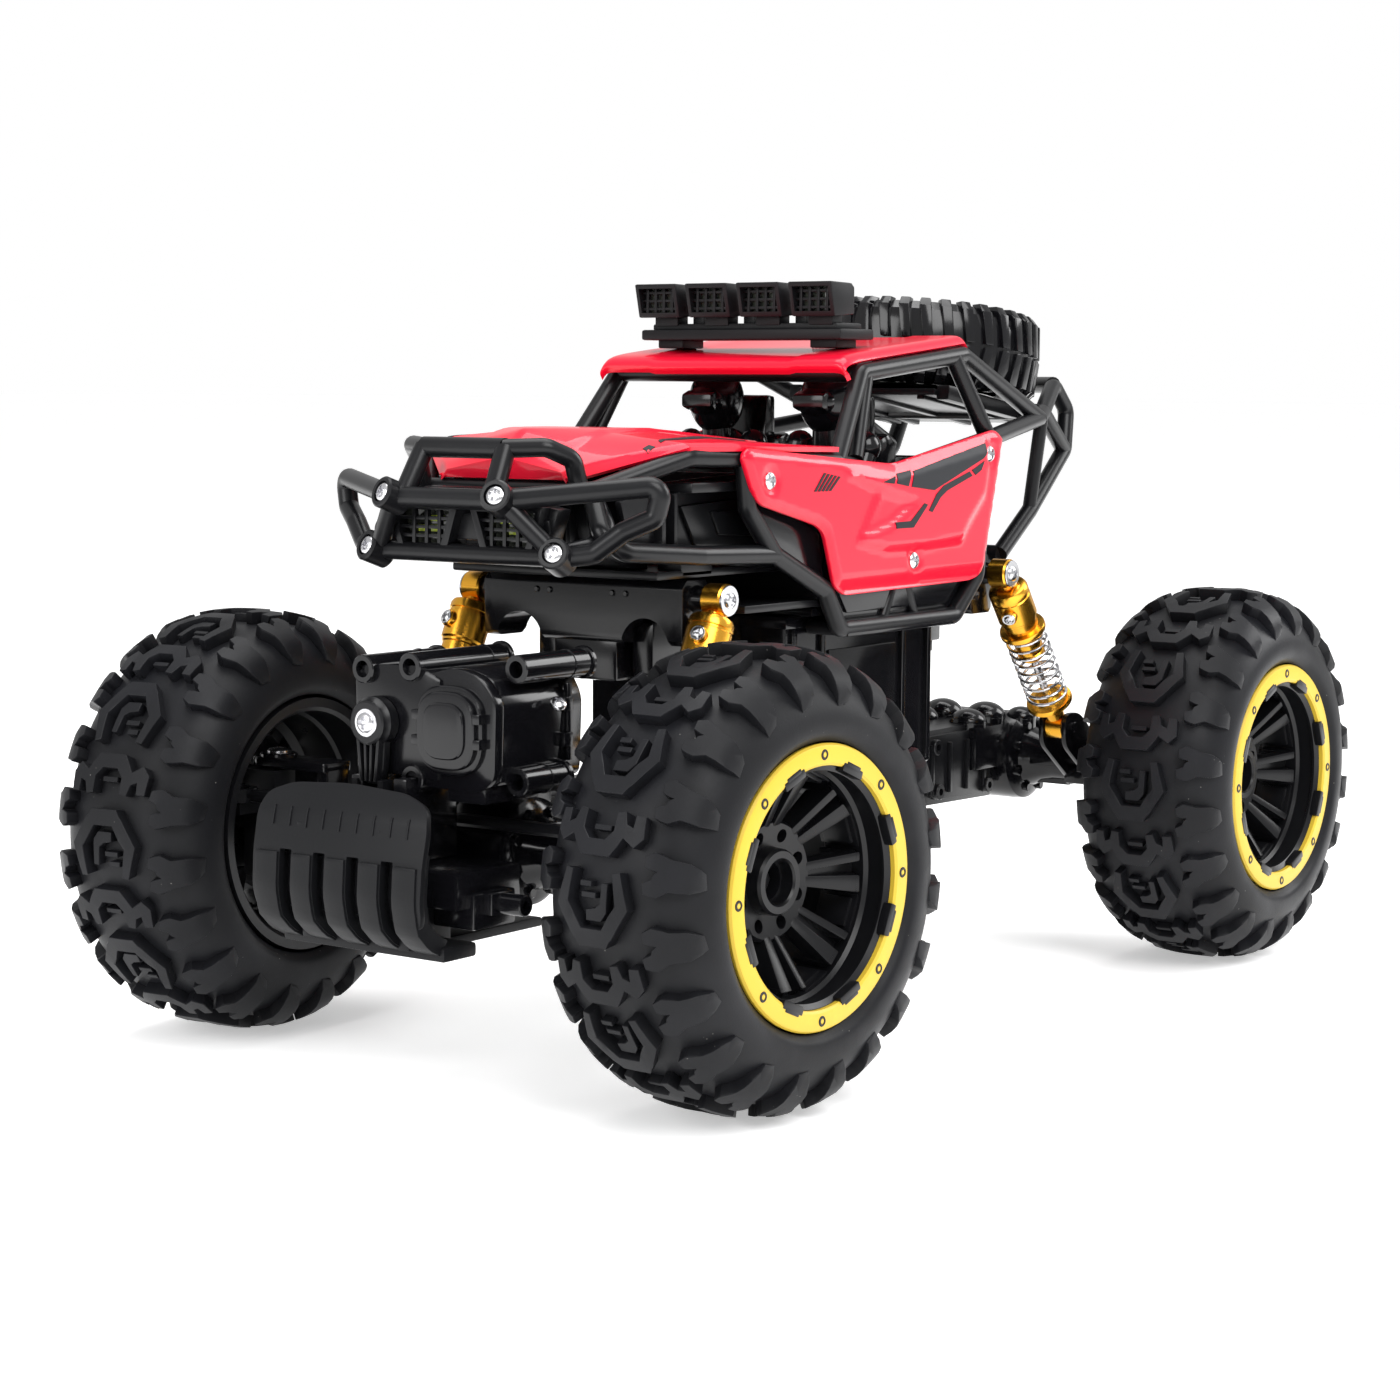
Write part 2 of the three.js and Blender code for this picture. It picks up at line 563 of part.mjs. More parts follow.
// Open-topped tub with a battery opening in the floor and pivot cheeks at both ends.
function chassisTub() {
  const { front, rear, halfWidth, floor, top } = TUB;
  const outer = block([rear, front], [-halfWidth, halfWidth], [floor, top]);
  const room = block([rear + WALL, front - WALL], [-halfWidth + WALL, halfWidth - WALL],
    [floor + WALL, top + 1]);
  const hatch = block([BATTERY.x[0] - 1, BATTERY.x[1] + 1], [BATTERY.y[0] - 1, BATTERY.y[1] + 1],
    [floor - 1, floor + WALL + 1]);
  const ledges = [-1, 1].map((side) => {
    const y = [side * (halfWidth - WALL - 6), side * (halfWidth - 1)];
    return block([-26, 26], [Math.min(...y), Math.max(...y)], [BOARD_Z - 3, BOARD_Z - GAP]);
  });
  const pivots = [-1, 1].map((end) => {
    const x = [end * (front - 1), end * (PIVOT_X + 6)];
    const span = [Math.min(...x), Math.max(...x)];
    const cheeks = [-1, 1].map((side) => {
      const y = [side * (TONGUE.halfWidth + 0.6), side * (TONGUE.halfWidth + 5)];
      return block(span, [Math.min(...y), Math.max(...y)], [PIVOT_Z - 6, PIVOT_Z + 8]);
    });
    const reach = TONGUE.halfWidth + 4;
    const pin = bar(V(end * PIVOT_X, -reach, PIVOT_Z), V(end * PIVOT_X, reach, PIVOT_Z), 3);
    return [cheeks, pin].flat();
  });
  return join(outer.subtract(room).subtract(hatch), ledges, pivots.flat());
}

function interiorTray() {
  const floor = block([-58, 82], [-48, 48], [TUB.top + GAP, TUB.top + 3]);
  const figures = [-22, 22].map((y) => {
    const head = new THREE.IcosahedronGeometry(9.5, 1);
    head.translate(-2, y, 186);
    return [
      block([-22, 10], [y - 14, y + 14], [TUB.top + 2, 150]),
      block([-24, -16], [y - 12, y + 12], [TUB.top + 2, 182]),
      bar(V(-8, y, 148), V(-4, y, 179), 10, 7, 12),
      solid(head),
    ];
  });
  const dash = block([24, 32], [-40, 40], [TUB.top + 2, 168]);
  return join(floor, figures.flat(), dash);
}

function addChassis() {
  const doorX = [BATTERY.x[0] - 5, BATTERY.x[1] + 5];
  const doorY = [BATTERY.y[0] - 5, BATTERY.y[1] + 5];
  addPart('chassis_tub', chassisTub(), BLACK_PLASTIC);
  addPart('battery_door', block(doorX, doorY, [TUB.floor - WALL - GAP, TUB.floor - GAP]), MATTE_PLASTIC);
  addPart('battery_pack', block(BATTERY.x, BATTERY.y, BATTERY.z), CELL);
  addPart('circuit_board', block([-24, 24], [-34, 34], [BOARD_Z, BOARD_Z + 1.6]), BOARD);
  addPart('front_shock_tower', shockTower('front', 1), BLACK_PLASTIC);
  addPart('rear_shock_tower', shockTower('rear', -1), BLACK_PLASTIC);
  addPart('interior_tray', interiorTray(), MATTE_PLASTIC);
}

// ---------------------------------------------------------------- body
const CAGE_Y = CABIN_Y - PANEL - TUBE_RADIUS - 0.8;

function sidePanel(side) {
  const profile = [[91, 181], [11, 175], [-52, 185.4], [-57, 183], [-45, 138], [-38, 136], [38.5, 135],
    [44, 138], [50, 154.5], [54, 157], [84, 164], [88, 167.5], [94, 178.5]];
  const y = [side * (CABIN_Y - PANEL), side * CABIN_Y];
  return slabXZ(profile, Math.min(...y), Math.max(...y));
}

// Bent sheet: the side profile cut to the plan outline.
function hoodPanel() {
  const nose = 135;
  const profile = [[nose, 171.7], [nose, 183], [nose - 8, 186.5], [90, 186.5], [41, 182.2],
    [41, 182.2 - PANEL],
    [90, 186.5 - PANEL], [nose - 9, 186.5 - PANEL], [nose - PANEL, 182], [nose - PANEL, 171.7]];
  const plan = [[nose, -23.6], [nose, 23.6], [111, 50], [93, 55.5], [41, 55.5], [41, -55.5], [93, -55.5],
    [111, -50]];
  return slabXZ(profile, -60, 60).intersect(slabXY(plan, 160, 200));
}

function roofPanel() {
  const lip = 203;
  const profile = [[25, lip], [27, 206], [20, 209.2], [-46, 216], [-48, 213.8], [20, 207.2], [24.5, 205.5],
    [23.6, lip]];
  return slabXZ(profile, -ROOF_Y, ROOF_Y);
}

function rollCage() {
  const belt = 177;
  const roofY = ROOF_Y - 0.5;
  const front = V(17, roofY, 203.2);
  const rear = V(-45, roofY, 209.6);
  const tail = V(-105, 43, 188.5);
  const shoulder = V(-54, CAGE_Y, 182);
  const scuttle = V(38, CAGE_Y, belt - 1);
  const fender = [scuttle, V(88, CAGE_Y, belt + 1), V(109, 48, 178.5), V(133, 31, 168.5)];
  const sill = [V(88, CAGE_Y, belt), V(86, CAGE_Y, 163), V(72, CAGE_Y, 149), V(44, CAGE_Y, 137),
    V(36, CAGE_Y, 124.5), V(-33, CAGE_Y, 124.5), V(-47, CAGE_Y, 137), shoulder];
  const lowerRail = [V(72, CAGE_Y, 149), V(106, 50, 150), V(136, 45, 152), V(141, 41, 157),
    V(133, 31, 168.5)];
  const stays = [36, -33].map((x) => tubePair([V(x, CAGE_Y, 124.5), V(x, TUB.halfWidth + 4, 124.5)]));
  return join(
    tubePair([scuttle, front, rear, tail]),
    tubePair([V(27, CAGE_Y, belt), V(13, roofY, 203.5)], TUBE_RADIUS - 0.8),
    tubePair([V(-39, roofY, 209), shoulder, tail]),
    tubePair([scuttle, V(11, CAGE_Y, 171), shoulder]),
    tubePair(fender), tubePair(sill), tubePair(lowerRail), stays,
    tube([front, V(front.x, -front.y, front.z)]),
    tube([rear, V(rear.x, -rear.y, rear.z)]),
    tube([V(133, 31, 168.5), V(133, -31, 168.5)]),
  );
}

// Tray and hoop behind the cabin that carry the spare tyre.
function rearCage() {
  const corner = V(-112, 40.5, 190.5);
  const top = V(-131, 34, 200);
  const back = V(-136, 36, 177);
  const foot = V(-88, 38, 142);
  const slope = Math.tan(-SPARE.tilt);
  const trayTop = (x) => SPARE.z - SPARE.width / 2 + (x - SPARE.x) * slope - 1.2;
  const [ahead, behind, sheet] = [-62, -134, 2.5];
  const tray = [[ahead, trayTop(ahead)], [behind, trayTop(behind)], [behind, trayTop(behind) - sheet],
    [ahead, trayTop(ahead) - sheet]];
  return join(
    tubePair([corner, top, V(-141, 34, 191), back, V(-108, 38, 156), foot]),
    tubePair([corner, back]),
    tubePair([V(-112, 40.5, 190.5), V(-108, 38, 156)], TUBE_RADIUS - 0.5),
    tube([top, V(-146, 14, 200), V(-146, -14, 200), V(top.x, -top.y, top.z)]),
    tube([V(corner.x, corner.y, corner.z), V(-108, 0, 190.5), V(corner.x, -corner.y, corner.z)]),
    tube([foot, V(foot.x, -foot.y, foot.z)]),
    slabXZ(tray, -28, 28),
  );
}

function frontBumper() {
  const screwLow = V(151.5, 33.8, 150.6);
  const screwHigh = V(160.6, 19.9, 166.7);
  const wing = V(137.1, 59.6, 171.1);
  const hoop = V(152.1, 15.1, 181.2);
  const across = (p, radius) => tube([p, V(p.x, -p.y, p.z)], radius);
  return join(
    tubePair([V(160, 17, 166.4), wing, V(138, 57.5, 162), V(143, 50, 158), V(147, 43, 152), screwLow]),
    tubePair([V(151.1, 34.3, 149.8), V(161, 19.4, 167.4)], TUBE_RADIUS - 0.4),
    ...[screwHigh, screwLow, hoop].map((place) => across(place, TUBE_RADIUS - 0.2)),
    tubePair([V(screwHigh.x, 16, screwHigh.z), hoop]),
    tubePair([V(152.4, 14.5, 181), V(141, 20, 180.6)], TUBE_RADIUS - 0.6),
  );
}

function bumperLamps() {
  const x = [144, 153];
  const lamps = [-1, 1].map((side) => {
    const trapezoid = [[side * 3, 163], [side * 7, 154.5], [side * 23, 154.5], [side * 27, 163]];
    return slabYZ(side > 0 ? trapezoid : trapezoid.reverse(), x[0], x[1]);
  });
  return join(lamps, block([x[0], x[0] + 3], [-10, 10], [156, 161]));
}

const ROOF_LAMP = { pitch: 21.2, width: 18, z: [221.5, 232], x: [7, 20.7] };

function roofLightBar() {
  const base = block([-4, 15.9], [-39.2, 39.2], [213.7, 219.2]);
  const feet = [-30, 30].map((y) => block([0, 12], [y - 5, y + 5], [211.6, 214.5]));
  const lamps = [-1.5, -0.5, 0.5, 1.5].map((slot) => {
    const y = slot * ROOF_LAMP.pitch * 0.95;
    return join(
      block(ROOF_LAMP.x, [y - ROOF_LAMP.width / 2, y + ROOF_LAMP.width / 2], ROOF_LAMP.z),
      block([8, 14], [y - 4, y + 4], [218, 222.5]),
    );
  });
  return join(base, feet, lamps);
}

function spareTyre() {
  const half = SPARE.width / 2;
  const profile = [[0, -half + 4], [18, -half + 4], [22, -half], [35, -half], [SPARE.radius, -half + 6],
    [SPARE.radius, half - 6], [35, half], [22, half], [18, half - 4], [0, half - 4]];
  return turned(profile, 24).rotate([90, 0, 0]);
}

function addBody() {
  addPart('hood_panel', hoodPanel(), RED_PANEL);
  addPart('left_side_panel', sidePanel(1), RED_PANEL);
  addPart('right_side_panel', sidePanel(-1), RED_PANEL);
  addPart('roof_panel', roofPanel(), RED_PANEL);
  addPart('roll_cage', rollCage(), BLACK_PLASTIC);
  addPart('rear_cage', rearCage(), BLACK_PLASTIC);
  addPart('front_bumper', frontBumper(), BLACK_PLASTIC);
  addPart('bumper_lamps', bumperLamps(), LAMP);
  addPart('roof_light_bar', roofLightBar(), MATTE_PLASTIC);
  const spare = addPart('spare_tyre', spareTyre(), TYRE_RUBBER);
  spare.position.set(SPARE.x, 0, SPARE.z);
  spare.rotation.y = SPARE.tilt;
}

// ---------------------------------------------------------------- assembly
addChassis();
addBody();
addAxle('front', 1);
addAxle('rear', -1);
addSteering();
for (const [sideName, side] of [['left', 1], ['right', -1]]) {
  addWheel(`front_${sideName}`, AXLE_X, side, TOE_IN, -11, 2);
  addWheel(`rear_${sideName}`, -AXLE_X, side, 0, -20, SHAFT_RADIUS + GAP);
  addShock('front', 1, sideName, side);
  addShock('rear', -1, sideName, side);
}

export default group;
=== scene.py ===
"""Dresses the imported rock-crawler buggy: a remote control car with sprung axles and a tube cage.

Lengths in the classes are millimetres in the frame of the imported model; each mesh is scaled to
metres when its piece is made. +X is forward, +Y is the car's left and +Z is up.
"""

from __future__ import annotations

import json
import logging
import math
from dataclasses import dataclass
from enum import Enum
from typing import Callable, Iterable, Sequence

import bmesh
import bpy
from mathutils import Matrix, Vector

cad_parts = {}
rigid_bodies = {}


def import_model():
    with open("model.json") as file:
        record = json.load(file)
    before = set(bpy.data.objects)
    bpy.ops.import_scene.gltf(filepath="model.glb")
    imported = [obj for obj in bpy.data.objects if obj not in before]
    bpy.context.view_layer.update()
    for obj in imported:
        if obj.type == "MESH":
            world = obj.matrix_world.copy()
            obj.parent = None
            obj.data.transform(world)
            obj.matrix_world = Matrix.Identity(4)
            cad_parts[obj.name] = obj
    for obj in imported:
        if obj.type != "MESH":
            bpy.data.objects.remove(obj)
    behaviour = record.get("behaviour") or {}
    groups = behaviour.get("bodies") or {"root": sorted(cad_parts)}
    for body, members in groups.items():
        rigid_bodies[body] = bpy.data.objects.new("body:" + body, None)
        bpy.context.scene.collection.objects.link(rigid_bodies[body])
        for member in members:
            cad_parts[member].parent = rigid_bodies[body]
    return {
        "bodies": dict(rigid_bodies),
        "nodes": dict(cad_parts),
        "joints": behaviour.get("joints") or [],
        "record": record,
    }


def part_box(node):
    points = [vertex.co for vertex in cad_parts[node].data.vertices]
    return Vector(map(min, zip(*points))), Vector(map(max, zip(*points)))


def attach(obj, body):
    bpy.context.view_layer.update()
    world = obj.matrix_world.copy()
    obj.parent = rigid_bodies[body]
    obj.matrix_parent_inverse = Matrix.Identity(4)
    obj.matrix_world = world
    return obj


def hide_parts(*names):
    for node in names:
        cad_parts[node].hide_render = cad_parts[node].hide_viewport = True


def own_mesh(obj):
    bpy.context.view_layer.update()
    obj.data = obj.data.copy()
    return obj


LOG = logging.getLogger("buggy")
MM = 0.001
TAU = 2 * math.pi
SMOOTH_ANGLE = math.radians(32)
AXLE_X = 144.0  # half the wheelbase
AXLE_Z = 65.0  # wheel centres stand this high
TOE_DEGREES = 4.0
SPARE_TILT = math.radians(-8)
PANEL_SCREWS = ((80.7, 171.2), (-46.7, 177.3), (-0.6, 144.2))  # x and z on both side panels
SPRING_KEEP = {"front": 0.636, "rear": 0.757}  # share of its length a spring keeps when closed
SHARP_EDGE = math.radians(30)
Point = tuple[float, float, float]
Flat = tuple[float, float]


# ------------------------------------------------------------------ shader maths


class Link:
    """A shader socket that can be used in Python arithmetic."""

    def __init__(self, tree: "ShaderTree", socket: bpy.types.NodeSocket) -> None:
        """Keeps the socket and the tree that it belongs to."""
        self.tree = tree
        self.socket = socket

    def _math(self, operation: str, first: object, second: object = 0.0) -> "Link":
        """Adds a Math node and returns its result."""
        node = self.tree.node("ShaderNodeMath", {"operation": operation}, {0: first, 1: second})
        return Link(self.tree, node.outputs[0])

    def __add__(self, other: object) -> "Link":
        """Sum."""
        return self._math("ADD", self, other)

    __radd__ = __add__

    def __sub__(self, other: object) -> "Link":
        """Difference."""
        return self._math("SUBTRACT", self, other)

    def __rsub__(self, other: object) -> "Link":
        """Difference from a number."""
        return self._math("SUBTRACT", other, self)

    def __mul__(self, other: object) -> "Link":
        """Product."""
        return self._math("MULTIPLY", self, other)

    __rmul__ = __mul__



class ShaderTree:
    """A material's node tree around one Principled shader."""

    def __init__(self, name: str) -> None:
        """Makes an empty node material.

        Args:
            name: the material's name.
        """
        self.material = bpy.data.materials.new(name)
        self.material.use_nodes = True
        self.nodes = self.material.node_tree.nodes
        self.links = self.material.node_tree.links
        self.nodes.clear()
        self.coords = Link(self, self.node("ShaderNodeTexCoord").outputs["Object"])

    def node(
        self,
        kind: str,
        settings: dict[str, object] | None = None,
        values: dict[object, object] | None = None,
    ) -> bpy.types.Node:
        """Adds a node.

        Args:
            kind: the node's type.
            settings: attributes of the node, set first.
            values: socket names or numbers, with the number, colour or Link that each takes.

        Returns:
            The new node.
        """
        node = self.nodes.new(kind)
        for key, setting in (settings or {}).items():
            if key == "stops":
                self._set_stops(node, setting)
            else:
                setattr(node, key, setting)
        for key, value in (values or {}).items():
            socket = node.inputs[key]
            if isinstance(value, Link):
                self.links.new(value.socket, socket)
            elif value is not None:
                socket.default_value = value
        return node

    @staticmethod
    def _set_stops(node: bpy.types.Node, stops: Sequence[tuple[float, Sequence[float]]]) -> None:
        """Gives a colour ramp its stops.

        Args:
            node: the ramp node.
            stops: place and colour of each stop.
        """
        ramp = node.color_ramp.elements
        while len(ramp) < len(stops):
            ramp.new(1.0)
        for element, (place, colour) in zip(ramp, stops):
            element.position = place
            element.color = (*colour, 1.0)

    def noise(self, scale: float, detail: float = 3.0, roughness: float = 0.55) -> Link:
        """Noise on object coordinates, from 0 to 1.

        Args:
            scale: cells per metre.
            detail: how many finer layers.
            roughness: strength of the finer layers.

        Returns:
            The noise.
        """
        node = self.node(
            "ShaderNodeTexNoise",
            {"noise_dimensions": "3D"},
            {"Vector": self.coords, "Scale": scale, "Detail": detail, "Roughness": roughness},
        )
        return Link(self, node.outputs["Fac"])

    def spots(self, scale: float) -> Link:
        """Distance to the nearest cell centre of a Voronoi pattern."""
        node = self.node("ShaderNodeTexVoronoi", None, {"Vector": self.coords, "Scale": scale})
        return Link(self, node.outputs["Distance"])

    def ramp(self, factor: Link, low: float, high: float) -> Link:
        """The factor stretched so that low becomes 0 and high becomes 1.

        Args:
            factor: the value.
            low: what becomes 0.
            high: what becomes 1.

        Returns:
            The stretched value.
        """
        node = self.node(
            "ShaderNodeMapRange",
            {"clamp": True, "interpolation_type": "SMOOTHSTEP"},
            {"Value": factor, "From Min": low, "From Max": high},
        )
        return Link(self, node.outputs["Result"])

    def mix(self, factor: object, first: object, second: object) -> Link:
        """A mix of two colours."""
        node = self.node("ShaderNodeMix", {"data_type": "RGBA"}, {0: factor, 6: first, 7: second})
        return Link(self, node.outputs[2])

    def bump(self, height: Link, depth_mm: float) -> Link:
        """A normal bent by a height of the given depth.

        Args:
            height: the height, from 0 to 1.
            depth_mm: depth of a height of 1.

        Returns:
            The normal.
        """
        node = self.node(
            "ShaderNodeBump", None, {"Strength": 1.0, "Distance": depth_mm * MM, "Height": height}
        )
        return Link(self, node.outputs["Normal"])

    def finish(self, values: dict[object, object]) -> bpy.types.Material:
        """Adds the Principled shader and the output, and returns the material.

        Args:
            values: values or links of the sockets.

        Returns:
            The material.
        """
        shader = self.node("ShaderNodeBsdfPrincipled", None, values)
        output = self.node("ShaderNodeOutputMaterial")
        self.links.new(shader.outputs[0], output.inputs["Surface"])
        return self.material


Colour = tuple[float, float, float]


def rgba(colour: Colour, gain: float = 1.0) -> tuple[float, float, float, float]:
    """A colour with its brightness changed, as four numbers."""
    return (*(min(1.0, c * gain) for c in colour), 1.0)


@dataclass(frozen=True)
class Finish:
    """A moulded, painted or machined surface with grain, uneven gloss and faint handling marks."""

    name: str
    colour: Colour
    roughness: float
    metallic: float = 0.0
    coat: float = 0.0
    specular: float = 0.5
    grain_scale: float = 900.0
    grain_depth: float = 0.02
    mottle: float = 0.12
    scuffs: float = 0.15

    def material(self) -> bpy.types.Material:
        """Builds the node material.

        Returns:
            The material.
        """
        tree = ShaderTree(self.name)
        broad = tree.noise(35.0, 2.0)
        fine = tree.noise(self.grain_scale, 4.0, 0.6)
        marks = tree.ramp(tree.noise(160.0, 6.0, 0.7), 0.56, 0.74)
        colour = tree.mix(broad, rgba(self.colour, 1 - self.mottle), rgba(self.colour, 1 + self.mottle))
        colour = tree.mix(marks * self.scuffs, colour, rgba(self.colour, 2.2))
        gloss = self.roughness + (broad - 0.5) * 0.12 + marks * (self.scuffs * 0.5)
        return tree.finish(
            {
                "Base Color": colour,
                "Roughness": gloss,
                "Metallic": self.metallic,
                "Coat Weight": self.coat,
                "Coat Roughness": 0.04,
                "Specular IOR Level": self.specular,
                "Normal": tree.bump(fine, self.grain_depth),
            }
        )


@dataclass(frozen=True)
class RubberFinish(Finish):
    """Tyre rubber: fine pits, painted sheen in pale, glossier patches and specks of dust."""

    dust: Colour = (0.30, 0.29, 0.27)

    def material(self) -> bpy.types.Material:
        """Builds the node material.

        Returns:
            The material.
        """
        tree = ShaderTree(self.name)
        # painted sheen: noise patches where the base colour is made paler (and the roughness lower) to
        # stand in for light on the rubber
        painted_sheen = tree.ramp(tree.noise(28.0, 5.0, 0.6), 0.35, 0.75)
        specks = tree.ramp(tree.spots(420.0), 0.09, 0.04) * tree.ramp(tree.noise(60.0), 0.58, 0.66)
        pits = tree.noise(self.grain_scale, 5.0, 0.65)
        # the painted sheen lifts the base colour from 0.8 to 1.45 times its value
        colour = tree.mix(painted_sheen, rgba(self.colour, 0.8), rgba(self.colour, 1.45))
        colour = tree.mix(specks * 0.6, colour, rgba(self.dust))
        return tree.finish(
            {
                "Base Color": colour,
                "Roughness": self.roughness + (0.5 - painted_sheen) * 0.16,
                "Specular IOR Level": self.specular,
                "Normal": tree.bump(pits + painted_sheen * 0.5, self.grain_depth),
            }
        )


@dataclass(frozen=True)
class PaintFinish(Finish):
    """Gloss paint on pressed metal: clear coat, slight orange peel and a deeper shade in broad patches."""

    deep: Colour = (0.7, 0.0, 0.05)

    def material(self) -> bpy.types.Material:
        """Builds the node material.

        Returns:
            The material.
        """
        tree = ShaderTree(self.name)
        flake = tree.ramp(tree.noise(2600.0, 2.0), 0.5, 0.8)
        broad = tree.noise(16.0, 1.0)
        peel = tree.noise(260.0, 2.0, 0.4)
        colour = tree.mix(tree.ramp(broad, 0.4, 0.9) * 0.35, rgba(self.colour), rgba(self.deep))
        colour = tree.mix(flake * 0.12, colour, rgba(self.colour, 1.5))
        return tree.finish(
            {
                "Base Color": colour,
                "Roughness": self.roughness + flake * 0.05,
                "Metallic": self.metallic,
                "Coat Weight": 0.45,
                "Coat Roughness": 0.03,
                "Specular IOR Level": self.specular,
                "Normal": tree.bump(peel, self.grain_depth),
            }
        )


class Look(Enum):
    """The finishes of the car."""

    SATIN = Finish("satin_black_plastic", (0.0055, 0.0056, 0.0066), 0.3, specular=0.28, grain_depth=0.012,
                   scuffs=0.04)
    GLOSS = Finish("gloss_black_plastic", (0.004, 0.004, 0.005), 0.15, specular=0.4, grain_depth=0.004,
        scuffs=0.03)
    MATTE = Finish("matte_grey_plastic", (0.0060, 0.0062, 0.0072), 0.42, specular=0.17, grain_depth=0.03,
                   scuffs=0.04)
    RUBBER = RubberFinish("pitted_black_rubber", (0.0066, 0.0068, 0.0083), 0.44, specular=0.18,
                          grain_scale=1300.0, grain_depth=0.035)
    RED = PaintFinish("red_paint", (0.83, 0.005, 0.030), 0.3, metallic=0.1, specular=0.2, grain_depth=0.004,
                      deep=(0.68, 0.0, 0.024))
    DECAL = Finish("black_stripe_film", (0.011, 0.012, 0.015), 0.48, specular=0.25, grain_depth=0.003)
    YELLOW = Finish("yellow_ring_plastic", (0.63, 0.43, 0.038), 0.4, specular=0.35, grain_depth=0.008,
                    mottle=0.06, scuffs=0.08)
    GOLD = Finish("gold_anodised_alloy", (0.86, 0.43, 0.045), 0.24, metallic=1.0, grain_depth=0.004,
                  mottle=0.08, scuffs=0.1)
    STEEL = Finish("bright_steel", (0.66, 0.66, 0.68), 0.22, metallic=1.0, grain_depth=0.004, mottle=0.1)
    BRASS = Finish("machined_brass", (0.72, 0.50, 0.16), 0.3, metallic=1.0, grain_depth=0.005)
    LENS = Finish("smoked_lens", (0.05, 0.055, 0.045), 0.07, coat=1.0, grain_depth=0.002, scuffs=0.02)
    LED = Finish("lime_led", (0.62, 0.75, 0.10), 0.2, grain_depth=0.004, mottle=0.2)
    BOARD = Finish("green_board", (0.02, 0.22, 0.07), 0.4, grain_depth=0.02, mottle=0.25)
    CELL = Finish("blue_cell_wrap", (0.04, 0.12, 0.45), 0.3, grain_depth=0.01)

    @property
    def built(self) -> bpy.types.Material:
        """The Blender material, made once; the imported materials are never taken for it.

        Returns:
            The material.
        """
        if self not in MADE:
            MADE[self] = self.value.material()
        return MADE[self]


MADE: dict[Look, bpy.types.Material] = {}


# ------------------------------------------------------------------ mesh building


def area(outline: Sequence[Flat]) -> float:
    """Signed area of an outline, positive when it runs anticlockwise.

    Args:
        outline: points of the outline.

    Returns:
        The area.
    """
    total = 0.0
    for i, (u, v) in enumerate(outline):
        nu, nv = outline[(i + 1) % len(outline)]
        total += u * nv - nu * v
    return total / 2


def smooth_line(points: Sequence[Flat], per_span: int = 5) -> list[Flat]:
    """Catmull-Rom points through a line, ends included.

    Args:
        points: knots of the line.
        per_span: points for each span.

    Returns:
        The points.
    """
    padded = [points[0], *points, points[-1]]
    line: list[Flat] = []
    for i in range(1, len(padded) - 2):
        p0, p1, p2, p3 = (Vector(p) for p in padded[i - 1 : i + 3])
        for k in range(per_span):
            t = k / per_span
            blend = (
                2 * p1 + (p2 - p0) * t + (2 * p0 - 5 * p1 + 4 * p2 - p3) * t * t
                + (3 * p1 - p0 - 3 * p2 + p3) * t ** 3
            )
            line.append(tuple(blend / 2))
    line.append(tuple(points[-1]))
    return line


class Plane(Enum):
    """The plane that an outline is drawn in; the depth runs along the third axis."""

    XY = Matrix(((1, 0, 0), (0, 1, 0), (0, 0, 1)))
    YZ = Matrix(((0, 0, 1), (1, 0, 0), (0, 1, 0)))
    XZ = Matrix(((1, 0, 0), (0, 0, 1), (0, 1, 0)))


